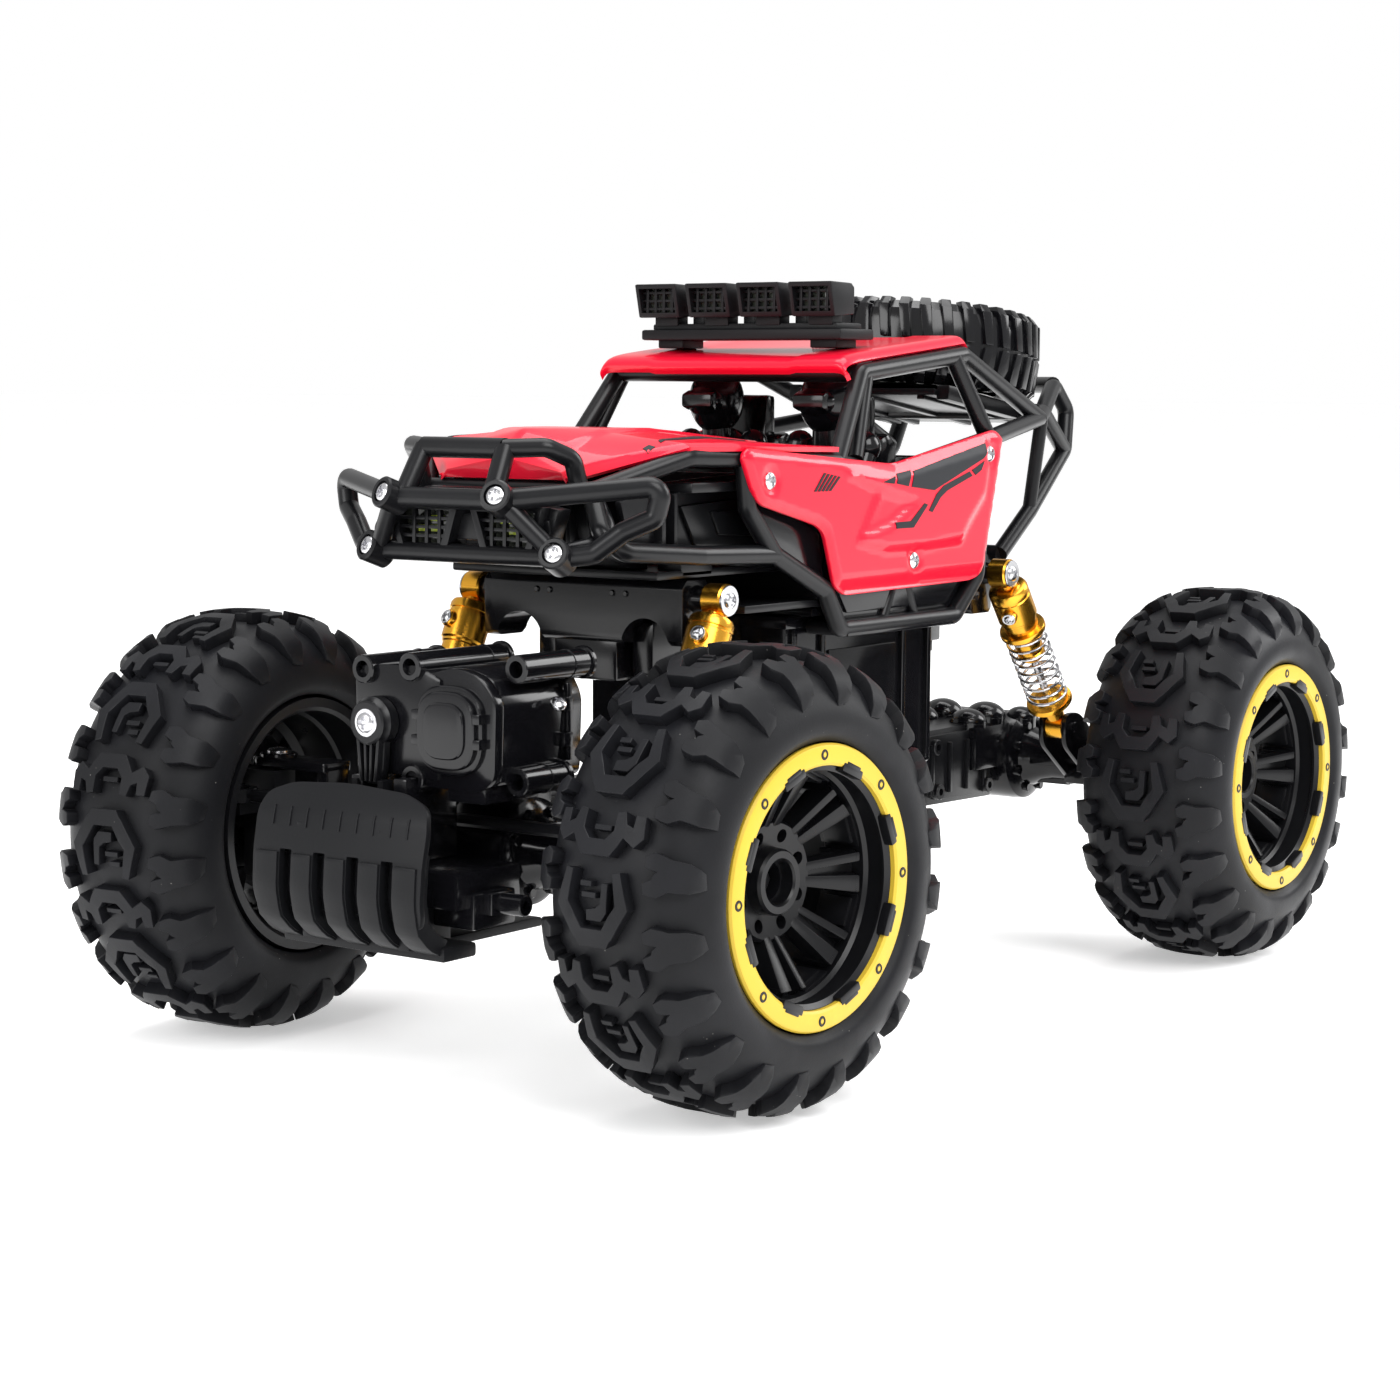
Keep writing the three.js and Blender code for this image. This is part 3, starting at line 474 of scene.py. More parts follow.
class Draft:
    """A mesh in millimetres, put together from closed shells."""

    def __init__(self) -> None:
        """Starts empty."""
        self.mesh = bmesh.new()

    def shell(
        self, points: Iterable[Point], faces: Iterable[Sequence[int]], bevel: float = 0.0, segments: int = 2
    ) -> "Draft":
        """Adds a closed shell with its normals turned outwards and its sharp edges rounded.

        Args:
            points: corners.
            faces: corner numbers of each face.
            bevel: width of the rounded edges.
            segments: steps across a rounded edge.

        Returns:
            This draft.
        """
        part = bmesh.new()
        verts = [part.verts.new(p) for p in points]
        for face in faces:
            part.faces.new([verts[i] for i in face])
        self._round(part, bevel, segments)
        return self._take(part)

    @staticmethod
    def _round(part: bmesh.types.BMesh, bevel: float, segments: int) -> None:
        """Recalculates normals and bevels the edges that turn by more than 30 degrees.

        Args:
            part: the mesh, changed in place.
            bevel: width of the rounded edges.
            segments: steps across a rounded edge.
        """
        bmesh.ops.recalc_face_normals(part, faces=part.faces)
        if bevel > 0:
            sharp = [e for e in part.edges if e.is_manifold and e.calc_face_angle(0) > SHARP_EDGE]
            bmesh.ops.bevel(part, geom=sharp, offset=bevel, segments=segments, profile=0.6,
                            affect="EDGES", clamp_overlap=True)

    def _take(self, part: bmesh.types.BMesh, matrix: Matrix | None = None) -> "Draft":
        """Moves the geometry of another mesh into this one.

        Args:
            part: the mesh, used up.
            matrix: how it is moved first.

        Returns:
            This draft.
        """
        holder = bpy.data.meshes.new("draft")
        if matrix is not None:
            part.transform(matrix)
            if matrix.determinant() < 0:
                bmesh.ops.reverse_faces(part, faces=part.faces)
        part.to_mesh(holder)
        part.free()
        self.mesh.from_mesh(holder)
        bpy.data.meshes.remove(holder)
        return self

    def merge(self, other: "Draft", matrix: Matrix | None = None) -> "Draft":
        """Adds a copy of another draft, moved by a matrix."""
        return self._take(other.mesh.copy(), matrix)

    def merge_mesh(self, data: bpy.types.Mesh, matrix: Matrix | None = None) -> "Draft":
        """Adds a Blender mesh, moved by a matrix.

        Args:
            data: the mesh.
            matrix: how it is moved first.

        Returns:
            This draft.
        """
        part = bmesh.new()
        part.from_mesh(data)
        return self._take(part, matrix)

    def prism(
        self, outline: Sequence[Flat], plane: Plane, low: float, high: float, bevel: float = 0.4,
        segments: int = 2,
    ) -> "Draft":
        """Adds an outline drawn out from low to high along the plane's third axis.

        Args:
            outline: points of the outline.
            plane: the plane it is drawn in.
            low: where it starts.
            high: where it ends.
            bevel: width of the rounded edges.
            segments: steps across a rounded edge.

        Returns:
            This draft.
        """
        n = len(outline)
        turn = plane.value
        points = [turn @ Vector((u, v, low)) for u, v in outline]
        points += [turn @ Vector((u, v, high)) for u, v in outline]
        faces = [tuple(range(n)), tuple(range(n, 2 * n))]
        faces += [(i, (i + 1) % n, n + (i + 1) % n, n + i) for i in range(n)]
        return self.shell(points, faces, bevel, segments)

    def block(self, low: Point, high: Point, bevel: float = 0.5, segments: int = 2) -> "Draft":
        """Adds a box with rounded edges between two corners."""
        outline = [(low[0], low[1]), (high[0], low[1]), (high[0], high[1]), (low[0], high[1])]
        return self.prism(outline, Plane.XY, low[2], high[2], bevel, segments)

    def turned(
        self, profile: Sequence[Flat], start: Point = (0, 0, 0), axis: Point = (0, 1, 0), steps: int = 32,
        closed: bool = False,
    ) -> "Draft":
        """Adds a turned solid.

        Args:
            profile: radius and distance along the axis; open profiles start and end on the axis.
            start: the point where the distance is 0.
            axis: the direction of the axis.
            steps: sides round the axis.
            closed: True for a ring, whose profile joins up clear of the axis.

        Returns:
            This draft.
        """
        points: list[Point] = []
        rows: list[list[int]] = []
        for radius, along in profile:
            if radius < 1e-6:
                rows.append([len(points)] * steps)
                points.append((0.0, 0.0, along))
                continue
            rows.append(list(range(len(points), len(points) + steps)))
            points += [
                (radius * math.cos(TAU * k / steps), radius * math.sin(TAU * k / steps), along)
                for k in range(steps)
            ]
        faces = []
        pairs = list(zip(rows, rows[1:])) + ([(rows[-1], rows[0])] if closed else [])
        for lower, upper in pairs:
            for k in range(steps):
                ring = [lower[k], lower[(k + 1) % steps], upper[(k + 1) % steps], upper[k]]
                face = list(dict.fromkeys(ring))
                if len(face) > 2:
                    faces.append(face)
        turn = Vector((0, 0, 1)).rotation_difference(Vector(axis)).to_matrix()
        placed = [turn @ Vector(p) + Vector(start) for p in points]
        return self.shell(placed, faces)

    def rod(
        self, start: Point, end: Point, radius: float, end_radius: float | None = None,
        chamfer: float = 0.3, steps: int = 28,
    ) -> "Draft":
        """Adds a round bar with chamfered ends.

        Args:
            start: centre of the first end.
            end: centre of the other end.
            radius: its radius.
            end_radius: radius at the other end, if it tapers.
            chamfer: width of the end chamfers.
            steps: sides round it.

        Returns:
            This draft.
        """
        run = Vector(end) - Vector(start)
        last = radius if end_radius is None else end_radius
        length = run.length
        cut = min(chamfer, length / 3, radius / 2, last / 2)
        profile = [(0, 0), (radius - cut, 0), (radius, cut), (last, length - cut), (last - cut, length),
            (0, length)]
        return self.turned(profile, start, tuple(run.normalized()), steps)

    def sleeve(
        self, start: Point, end: Point, radius: float, bore: float, chamfer: float = 0.3, steps: int = 28
    ) -> "Draft":
        """Adds a round bar with a hole through it.

        Args:
            start: centre of the first end.
            end: centre of the other end.
            radius: its radius.
            bore: radius of the hole.
            chamfer: width of the end chamfers.
            steps: sides round it.

        Returns:
            This draft.
        """
        run = Vector(end) - Vector(start)
        length = run.length
        profile = [
            (bore, 0), (radius - chamfer, 0), (radius, chamfer), (radius, length - chamfer),
            (radius - chamfer, length), (bore, length),
        ]
        return self.turned(profile, start, tuple(run.normalized()), steps, closed=True)

    def ball(self, centre: Point, radii: Point, steps: int = 24) -> "Draft":
        """Adds an ellipsoid.

        Args:
            centre: its centre.
            radii: its three radii.
            steps: sides round it.

        Returns:
            This draft.
        """
        rings = steps // 2
        profile = [(math.sin(math.pi * k / rings),
            -math.cos(math.pi * k / rings)) for k in range(rings + 1)]
        profile[0] = (0.0, -1.0)
        profile[-1] = (0.0, 1.0)
        part = Draft().turned(profile, steps=steps, axis=(0, 0, 1))
        scale = Matrix.Diagonal((*radii, 1.0))
        return self.merge(part, Matrix.Translation(centre) @ scale)

    def mirrored(self) -> "Draft":
        """Adds the car's other side: a copy reflected in the XZ plane."""
        return self.merge(self, Matrix.Diagonal((1, -1, 1, 1)))

    def piece(
        self, name: str, look: Look, body: str, replaces: Sequence[str] = (), place: Matrix | None = None,
        smooth: float = SMOOTH_ANGLE,
    ) -> bpy.types.Object:
        """Turns the draft into a finished piece that rides on a CAD body.

        Args:
            name: the piece's name.
            look: its finish.
            body: the CAD body it moves with.
            replaces: CAD nodes that it stands for.
            place: a matrix in millimetres applied first.
            smooth: edges that turn by more than this stay sharp.

        Returns:
            The new object, at the origin, in metres.
        """
        data = bpy.data.meshes.new(name)
        if place is not None:
            self.mesh.transform(place)
        self.mesh.transform(Matrix.Scale(MM, 4))
        self.mesh.to_mesh(data)
        self.mesh.free()
        return dress(name, data, look, body, replaces, smooth)


def dress(
    name: str, data: bpy.types.Mesh, look: Look, body: str, replaces: Sequence[str] = (),
    smooth: float = SMOOTH_ANGLE,
) -> bpy.types.Object:
    """Makes an object of a mesh in metres, with its finish, body and replaced CAD nodes.

    Args:
        name: its name.
        data: its mesh.
        look: its finish.
        body: the CAD body it moves with.
        replaces: CAD nodes that it stands for.
        smooth: edges that turn by more than this stay sharp.

    Returns:
        The piece.
    """
    data.name = name
    data.shade_smooth()
    data.set_sharp_from_angle(angle=smooth)
    data.materials.clear()
    data.materials.append(look.built)
    piece = bpy.data.objects.new(name, data)
    bpy.context.scene.collection.objects.link(piece)
    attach(piece, body)
    if replaces:
        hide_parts(*replaces)
    LOG.info("%s: %d faces on %s", name, len(data.polygons), body)
    return piece


# ------------------------------------------------------------------ geometry nodes


class Growth:
    """A geometry node tree with named inputs, used once on a host and turned into a mesh."""

    def __init__(self, name: str) -> None:
        """Makes an empty tree with a geometry output.

        Args:
            name: its name.
        """
        self.tree = bpy.data.node_groups.new(name, "GeometryNodeTree")
        self.tree.interface.new_socket("Geometry", in_out="OUTPUT", socket_type="NodeSocketGeometry")
        self.entry = self.tree.nodes.new("NodeGroupInput")
        self.exit = self.tree.nodes.new("NodeGroupOutput")

    def input(self, name: str, kind: str) -> bpy.types.NodeSocket:
        """Adds a named input and returns its socket inside the tree."""
        self.tree.interface.new_socket(name, in_out="INPUT", socket_type=kind)
        return self.entry.outputs[name]

    def node(
        self, kind: str, settings: dict[str, object] | None = None,
            values: dict[object, object] | None = None
    ) -> bpy.types.Node:
        """Adds a node, with its settings and then its socket values or links.

        Args:
            kind: the node's type.
            settings: attributes, set first.
            values: values or links of the sockets.

        Returns:
            The node.
        """
        node = self.tree.nodes.new(kind)
        for key, setting in (settings or {}).items():
            setattr(node, key, setting)
        for key, value in (values or {}).items():
            if isinstance(value, bpy.types.NodeSocket):
                self.tree.links.new(value, node.inputs[key])
            else:
                node.inputs[key].default_value = value
        return node

    def close(self, geometry: bpy.types.NodeSocket, material: bpy.types.NodeSocket) -> None:
        """Ends the tree with Realize Instances and Set Material.

        Args:
            geometry: what the tree has made.
            material: its material.
        """
        solid = self.node("GeometryNodeRealizeInstances", None, {"Geometry": geometry})
        painted = self.node("GeometryNodeSetMaterial", None,
            {"Geometry": solid.outputs[0], "Material": material})
        self.tree.links.new(painted.outputs[0], self.exit.inputs[0])

    def grow(self, inputs: dict[str, object]) -> bpy.types.Mesh:
        """Runs the tree.

        Args:
            inputs: a value for each named input.

        Returns:
            A plain mesh, in the units of the inputs.
        """
        host = bpy.data.objects.new("host", bpy.data.meshes.new("host"))
        bpy.context.scene.collection.objects.link(host)
        modifier = host.modifiers.new("growth", "NODES")
        modifier.node_group = self.tree
        for item in self.tree.interface.items_tree:
            if item.in_out == "INPUT":
                modifier[item.identifier] = inputs[item.name]
        host.update_tag()
        graph = bpy.context.evaluated_depsgraph_get()
        made = bpy.data.meshes.new_from_object(host.evaluated_get(graph), depsgraph=graph)
        bpy.data.objects.remove(host)
        return made


def radial_growth() -> Growth:
    """A tree that sets copies of a unit round the Y axis.

    Returns:
        The tree.
    """
    growth = Growth("radial_repeat")
    unit = growth.input("Unit", "NodeSocketObject")
    count = growth.input("Count", "NodeSocketInt")
    phase = growth.input("Phase", "NodeSocketFloat")
    material = growth.input("Material", "NodeSocketMaterial")
    source = growth.node("GeometryNodeObjectInfo", None, {"Object": unit})
    points = growth.node("GeometryNodePoints", None, {"Count": count})
    index = growth.node("GeometryNodeInputIndex")
    step = growth.node("ShaderNodeMath", {"operation": "DIVIDE"}, {0: TAU, 1: count})
    angle = growth.node(
        "ShaderNodeMath", {"operation": "MULTIPLY_ADD"}, {0: index.outputs[0], 1: step.outputs[0], 2: phase}
    )
    euler = growth.node("ShaderNodeCombineXYZ", None, {"Y": angle.outputs[0]})
    turn = growth.node("FunctionNodeEulerToRotation", None, {0: euler.outputs[0]})
    copies = growth.node(
        "GeometryNodeInstanceOnPoints",
        None,
        {"Points": points.outputs[0], "Instance": source.outputs["Geometry"], "Rotation": turn.outputs[0]},
    )
    growth.close(copies.outputs[0], material)
    return growth


def scatter_growth() -> Growth:
    """A tree that sets a unit on every point of a guide mesh, turned to the guide's normals.

    Returns:
        The tree.
    """
    growth = Growth("set_on_points")
    unit = growth.input("Unit", "NodeSocketObject")
    guide = growth.input("Guide", "NodeSocketObject")
    material = growth.input("Material", "NodeSocketMaterial")
    source = growth.node("GeometryNodeObjectInfo", None, {"Object": unit})
    marks = growth.node("GeometryNodeObjectInfo", None, {"Object": guide})
    facing = growth.node("GeometryNodeInputNamedAttribute", {"data_type": "FLOAT_VECTOR"},
        {"Name": "facing"})
    turn = growth.node("FunctionNodeAlignRotationToVector", {"axis": "Z"}, {"Vector": facing.outputs[0]})
    copies = growth.node(
        "GeometryNodeInstanceOnPoints",
        None,
        {"Points": marks.outputs["Geometry"], "Instance": source.outputs["Geometry"],
            "Rotation": turn.outputs[0]},
    )
    growth.close(copies.outputs[0], material)
    return growth


def tube_growth() -> Growth:
    """A tree that rounds the bends of a path and sweeps a round section along it.

    Returns:
        The tree.
    """
    growth = Growth("tube_run")
    path = growth.input("Path", "NodeSocketObject")
    radius = growth.input("Radius", "NodeSocketFloat")
    bend = growth.input("Bend", "NodeSocketFloat")
    sides = growth.input("Sides", "NodeSocketInt")
    material = growth.input("Material", "NodeSocketMaterial")
    source = growth.node("GeometryNodeObjectInfo", None, {"Object": path})
    round_off = growth.node(
        "GeometryNodeFilletCurve", None, {"Curve": source.outputs["Geometry"], "Radius": bend}
    )
    if "Mode" in round_off.inputs:
        round_off.inputs["Mode"].default_value = "Poly"
    else:
        round_off.mode = "POLY"
    round_off.inputs["Count"].default_value = 6
    round_off.inputs["Limit Radius"].default_value = True
    section = growth.node("GeometryNodeCurvePrimitiveCircle", None, {"Resolution": sides, "Radius": radius})
    swept = growth.node(
        "GeometryNodeCurveToMesh",
        None,
        {"Curve": round_off.outputs[0], "Profile Curve": section.outputs[0], "Fill Caps": True},
    )
    growth.close(swept.outputs[0], material)
    return growth


class Workshop:
    """The shared geometry node trees and the jobs they do for drafts."""

    def __init__(self) -> None:
        """Builds each tree once."""
        self.radial = radial_growth()
        self.scatter = scatter_growth()
        self.tubes = tube_growth()

    @staticmethod
    def _unit(draft: Draft) -> bpy.types.Object:
        """A hidden object that holds a draft in millimetres.

        Args:
            draft: the draft.

        Returns:
            The object.
        """
        data = bpy.data.meshes.new("unit")
        draft.mesh.to_mesh(data)
        draft.mesh.free()
        unit = bpy.data.objects.new("unit", data)
        bpy.context.scene.collection.objects.link(unit)
        return unit

    def around(self, draft: Draft, count: int, look: Look, phase: float = 0.0) -> bpy.types.Mesh:
        """Copies of a draft round the Y axis, in millimetres.

        Args:
            draft: the unit, used up.
            count: how many.
            look: its finish.
            phase: angle of the first.

        Returns:
            The copies.
        """
        unit = self._unit(draft)
        made = self.radial.grow({"Unit": unit, "Count": count, "Phase": phase, "Material": look.built})
        bpy.data.objects.remove(unit)
        return made

    def on_points(
        self, draft: Draft, places: Sequence[tuple[Point, Point]], look: Look
    ) -> bpy.types.Mesh:
        """Copies of a draft, whose own axis is Z, at each place and facing each direction.

        Args:
            draft: the unit, used up.
            places: place and direction of each copy.
            look: its finish.

        Returns:
            The copies.
        """
        unit = self._unit(draft)
        data = bpy.data.meshes.new("guide")
        data.from_pydata([p for p, _ in places], [], [])
        facing = data.attributes.new("facing", "FLOAT_VECTOR", "POINT")
        facing.data.foreach_set("vector", [c for _, d in places for c in Vector(d).normalized()])
        guide = bpy.data.objects.new("guide", data)
        bpy.context.scene.collection.objects.link(guide)
        made = self.scatter.grow({"Unit": unit, "Guide": guide, "Material": look.built})
        bpy.data.objects.remove(unit)
        bpy.data.objects.remove(guide)
        return made

    def tube(
        self, runs: Sequence[Sequence[Point]], radius: float, look: Look, bend: float = 5.0, sides: int = 14
    ) -> bpy.types.Mesh:
        """Round tubes along runs of points, in millimetres.

        Args:
            runs: points of each run.
            radius: its radius.
            look: its finish.
            bend: radius of the bends.
            sides: sides round the tube.

        Returns:
            The tubes.
        """
        curve = bpy.data.curves.new("path", "CURVE")
        curve.dimensions = "3D"
        for run in runs:
            spline = curve.splines.new("POLY")
            spline.points.add(len(run) - 1)
            for knot, point in zip(spline.points, run):
                knot.co = (*point, 1.0)
        path = bpy.data.objects.new("path", curve)
        bpy.context.scene.collection.objects.link(path)
        made = self.tubes.grow(
            {"Path": path, "Radius": radius, "Bend": bend, "Sides": sides, "Material": look.built}
        )
        bpy.data.objects.remove(path)
        return made


def both(run: Sequence[Point]) -> list[list[Point]]:
    """A run of points and its reflection on the car's other side."""
    return [list(run), [(x, -y, z) for x, y, z in run]]


def cut_away(body: Draft, tool: Draft) -> Draft:
    """The first draft with the second one removed from it.

    Args:
        body: the draft that is cut; used up.
        tool: the shape that is taken away; used up.

    Returns:
        A new draft.
    """
    made = []
    for draft in (body, tool):
        data = bpy.data.meshes.new("cut")
        draft.mesh.to_mesh(data)
        draft.mesh.free()
        made.append(bpy.data.objects.new("cut", data))
        bpy.context.scene.collection.objects.link(made[-1])
    modifier = made[0].modifiers.new("cut", "BOOLEAN")
    modifier.operation = "DIFFERENCE"
    modifier.solver = "EXACT"
    modifier.object = made[1]
    graph = bpy.context.evaluated_depsgraph_get()
    result = bpy.data.meshes.new_from_object(made[0].evaluated_get(graph), depsgraph=graph)
    for item in made:
        bpy.data.objects.remove(item)
    return Draft().merge_mesh(result)


def gridded(draft: Draft, pitch: float, axes: Sequence[int]) -> Draft:
    """Cuts a draft's faces along regular planes so that it can be bent.

    Args:
        draft: the draft.
        pitch: widest strip.
        axes: axes to cut across.

    Returns:
        The same draft.
    """
    lows = [min(v.co[a] for v in draft.mesh.verts) for a in range(3)]
    highs = [max(v.co[a] for v in draft.mesh.verts) for a in range(3)]
    for axis in axes:
        count = int((highs[axis] - lows[axis]) / pitch)
        for k in range(1, count + 1):
            place, normal = Vector((0, 0, 0)), Vector((0, 0, 0))
            place[axis] = lows[axis] + (highs[axis] - lows[axis]) * k / (count + 1)
            normal[axis] = 1.0
            bmesh.ops.bisect_plane(
                draft.mesh, geom=draft.mesh.verts[:] + draft.mesh.edges[:] + draft.mesh.faces[:],
                plane_co=place, plane_no=normal, dist=1e-5,
            )
    return draft


def warped(draft: Draft, rule: Callable[[Vector], Vector]) -> Draft:
    """Moves every vertex of a draft by a rule and turns its normals outwards.

    Args:
        draft: the draft.
        rule: gives the new place of a point.

    Returns:
        The same draft.
    """
    for vert in draft.mesh.verts:
        vert.co = rule(vert.co.copy())
    bmesh.ops.recalc_face_normals(draft.mesh, faces=draft.mesh.faces)
    return draft


def centre_mm(node: str) -> Vector:
    """The middle of a CAD node's box, in millimetres."""
    low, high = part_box(node)
    return (Vector(low) + Vector(high)) / 2 / MM


# ------------------------------------------------------------------ screws


@dataclass(frozen=True)
class PanScrew:
    """A pan-head screw with a cross recess; its axis is Z and its seat is at the origin."""

    radius: float = 2.6
    height: float = 1.5

    def head(self) -> Draft:
        """The head, cut by the cross recess.

        Returns:
            The head.
        """
        r, h = self.radius, self.height
        dome = [(0, -0.6), (r * 0.96, -0.6), (r, 0.1), (r * 0.97, h * 0.45), (r * 0.8, h * 0.8),
            (r * 0.5, h), (0, h)]
        head = Draft().turned(dome, axis=(0, 0, 1), steps=26)
        arm, deep = r * 0.17, h * 0.35
        across = Draft().block((-r * 0.6, -arm, deep), (r * 0.6, arm, h * 2), 0.0)
        upright = Draft().block((-arm, -r * 0.6, deep), (arm, r * 0.6, h * 2), 0.0)
        return cut_away(cut_away(head, across), upright)


# ------------------------------------------------------------------ wheels


@dataclass(frozen=True)
class Wheel:
    """One beadlock wheel: lugged tyre, deep spoked rim and bolted ring, outside towards +Y."""

    node: str
    body: str
    toe_degrees: float = 0.0
    tread_radius: float = 65.0
    pitches: int = 10
    spokes: int = 8
    ring_outer: float = 39.2
    ring_inner: float = 33.2
    ring_face: float = 26.0
    section: tuple[Flat, ...] = (
        (0, 61.0), (6, 60.9), (12, 60.2), (17, 58.5), (21, 55.9), (24.2, 52.4), (26.2, 48.5),
        (26.9, 45.0), (26.6, 42.2), (25.4, 40.6),
    )
    lug_heights: tuple[Flat, ...] = ((0, 3.9), (14, 3.9), (20, 3.8), (25, 3.1), (28, 1.7), (30.5, 0.2),
        (60, 0.1))

    @property
    def place(self) -> Matrix:
        """Where the wheel stands, from its packed tyre.

        Returns:
            The matrix.
        """
        side = 0.0 if "left" in self.node else math.pi
        toe = math.radians(self.toe_degrees)
        return Matrix.Translation(centre_mm(f"{self.node}_tyre")) @ Matrix.Rotation(side + toe, 4, "Z")

    def _surface(self, along: float) -> tuple[Vector, Vector]:
        """Point and outward normal of the carcass at a distance along its section, as (y, r).

        Args:
            along: distance from the middle of the tread.

        Returns:
            The point and the normal.
        """
        left = abs(along)
        for (y0, r0), (y1, r1) in zip(self.section, self.section[1:]):
            step = Vector((y1 - y0, r1 - r0))
            if left <= step.length or (y1, r1) == self.section[-1]:
                share = left / step.length
                point = Vector((y0, r0)) + step * share
                normal = Vector((-step.y, step.x)).normalized()
                break
            left -= step.length
        sign = 1.0 if along >= 0 else -1.0
        return Vector((point.x * sign, point.y)), Vector((normal.x * sign, normal.y))

    def _height(self, along: float) -> float:
        """Full lug height at a distance along the section.

        Args:
            along: distance from the middle of the tread.

        Returns:
            The height.
        """
        for (t0, h0), (t1, h1) in zip(self.lug_heights, self.lug_heights[1:]):
            if abs(along) <= t1:
                return h0 + (h1 - h0) * (abs(along) - t0) / (t1 - t0)
        return self.lug_heights[-1][1]

    def _wrap(self, flat: Vector) -> Vector:
        """Bends a point (round, along, share of height) onto the carcass.

        Args:
            flat: the point before bending.

        Returns:
            The bent point.
        """
        point, normal = self._surface(flat.y)
        lift = flat.z * self._height(flat.y) if flat.z > 0 else flat.z
        y = point.x + normal.x * lift
        r = point.y + normal.y * lift
        angle = flat.x / self.tread_radius
        return Vector((r * math.cos(angle), y, r * math.sin(angle)))

    def _lug(self, outline: Sequence[Flat], top: float = 1.0, bevel: float = 0.16) -> Draft:
        """A flat lug, ready for bending: its height is a share of the full lug height.

        Args:
            outline: points of the outline.
            top: share of the full lug height.
            bevel: width of the rounded edges.

        Returns:
            The lug.
        """
        points = list(outline) if area(outline) > 0 else list(reversed(outline))
        lug = Draft().prism(points, Plane.XY, -1.2, top, bevel, 2)
        return gridded(lug, 3.2, (0, 1))

    def _tread_unit(self) -> Draft:
        """One pitch of the tread: a shield, a winged bar and the four shoulder lugs beside them.

        Returns:
            The pitch, bent.
        """
        unit = Draft()
        half = math.pi * self.tread_radius / self.pitches
        shield = [
            (-10.2, -4.6), (-10.2, 4.6), (0.6, 11.6), (10.4, 8.6), (10.0, 6.2), (1.4, 7.6), (-5.2, 3.4),
            (-5.2, -3.4), (1.4, -7.6), (10.0, -6.2), (10.4, -8.6), (0.6, -11.6),
        ]
        unit.merge(self._lug(shield))
        inner = [
            (-3.4, -2.4), (-3.4, 2.6), (-1.0, 4.4), (7.0, 4.6), (7.0, 2.6), (1.4, 2.2), (0.2, 0.6),
                (-0.4, -2.4),
        ]
        unit.merge(self._lug(inner, 0.72))
        for s0, t0, t1 in ((2.6, -4.4, 0.4), (5.6, -5.0, -1.2)):
            unit.merge(self._lug([(s0, t0), (s0, t1), (s0 + 1.6, t1), (s0 + 1.6, t0)], 0.62))
        winged = [
            (-6.4, -4.8), (-6.4, 4.8), (-1.2, 8.0), (-3.4, 11.6), (-0.6, 13.4), (5.4, 12.8), (5.4, 10.6),
            (1.8, 10.4), (2.6, 8.4), (6.0, 7.2), (5.6, 5.0), (0.6, 5.0), (-2.0, 2.6), (-2.0, -2.6),
                (0.6, -5.0),
            (5.6, -5.0), (6.0, -7.2), (2.6, -8.4), (1.8, -10.4), (5.4, -10.6), (5.4, -12.8), (-0.6, -13.4),
            (-3.4, -11.6), (-1.2, -8.0),
        ]
        unit.merge(self._lug([(s + half, t) for s, t in winged]))
        bar = [(0.4, -2.6), (0.4, 3.0), (2.0, 3.0), (2.0, -2.6)]
        unit.merge(self._lug([(s + half, t) for s, t in bar], 0.65))
        hook = [
            (-3.6, 30.5), (-5.0, 25.0), (-4.8, 20.5), (-6.6, 17.6), (-5.8, 14.8), (-2.8, 14.2),
                (-1.6, 16.8),
            (0.6, 17.4), (1.4, 15.0), (4.4, 14.6), (5.8, 17.2), (4.4, 20.8), (4.0, 25.0), (1.6, 29.5),
        ]
        for k in range(2):
            for side in (-1, 1):
                lean = 1.0 if side > 0 else -1.0
                unit.merge(self._lug([(s + half * (k + 0.5) + lean, side * t) for s, t in hook]))
        return warped(unit, self._wrap)

    def tyre(self, shop: Workshop) -> None:
        """Makes the tyre.

        Args:
            shop: the shared node trees.
        """
        outer = smooth_line(list(self.section), 3)
        left = [(r, -y) for y, r in reversed(outer[1:])]
        right = [(r, y) for y, r in outer]
        bead = [(39.7, 24.6), (39.45, 20.0), (39.45, -20.0), (39.7, -24.6)]
        tyre = Draft().turned(left + right + bead, steps=120, closed=True)
        tyre.merge_mesh(shop.around(self._tread_unit(), self.pitches, Look.RUBBER))
        tyre.piece(f"{self.node}_lugged_tyre", Look.RUBBER, self.body, [f"{self.node}_tyre"], self.place)

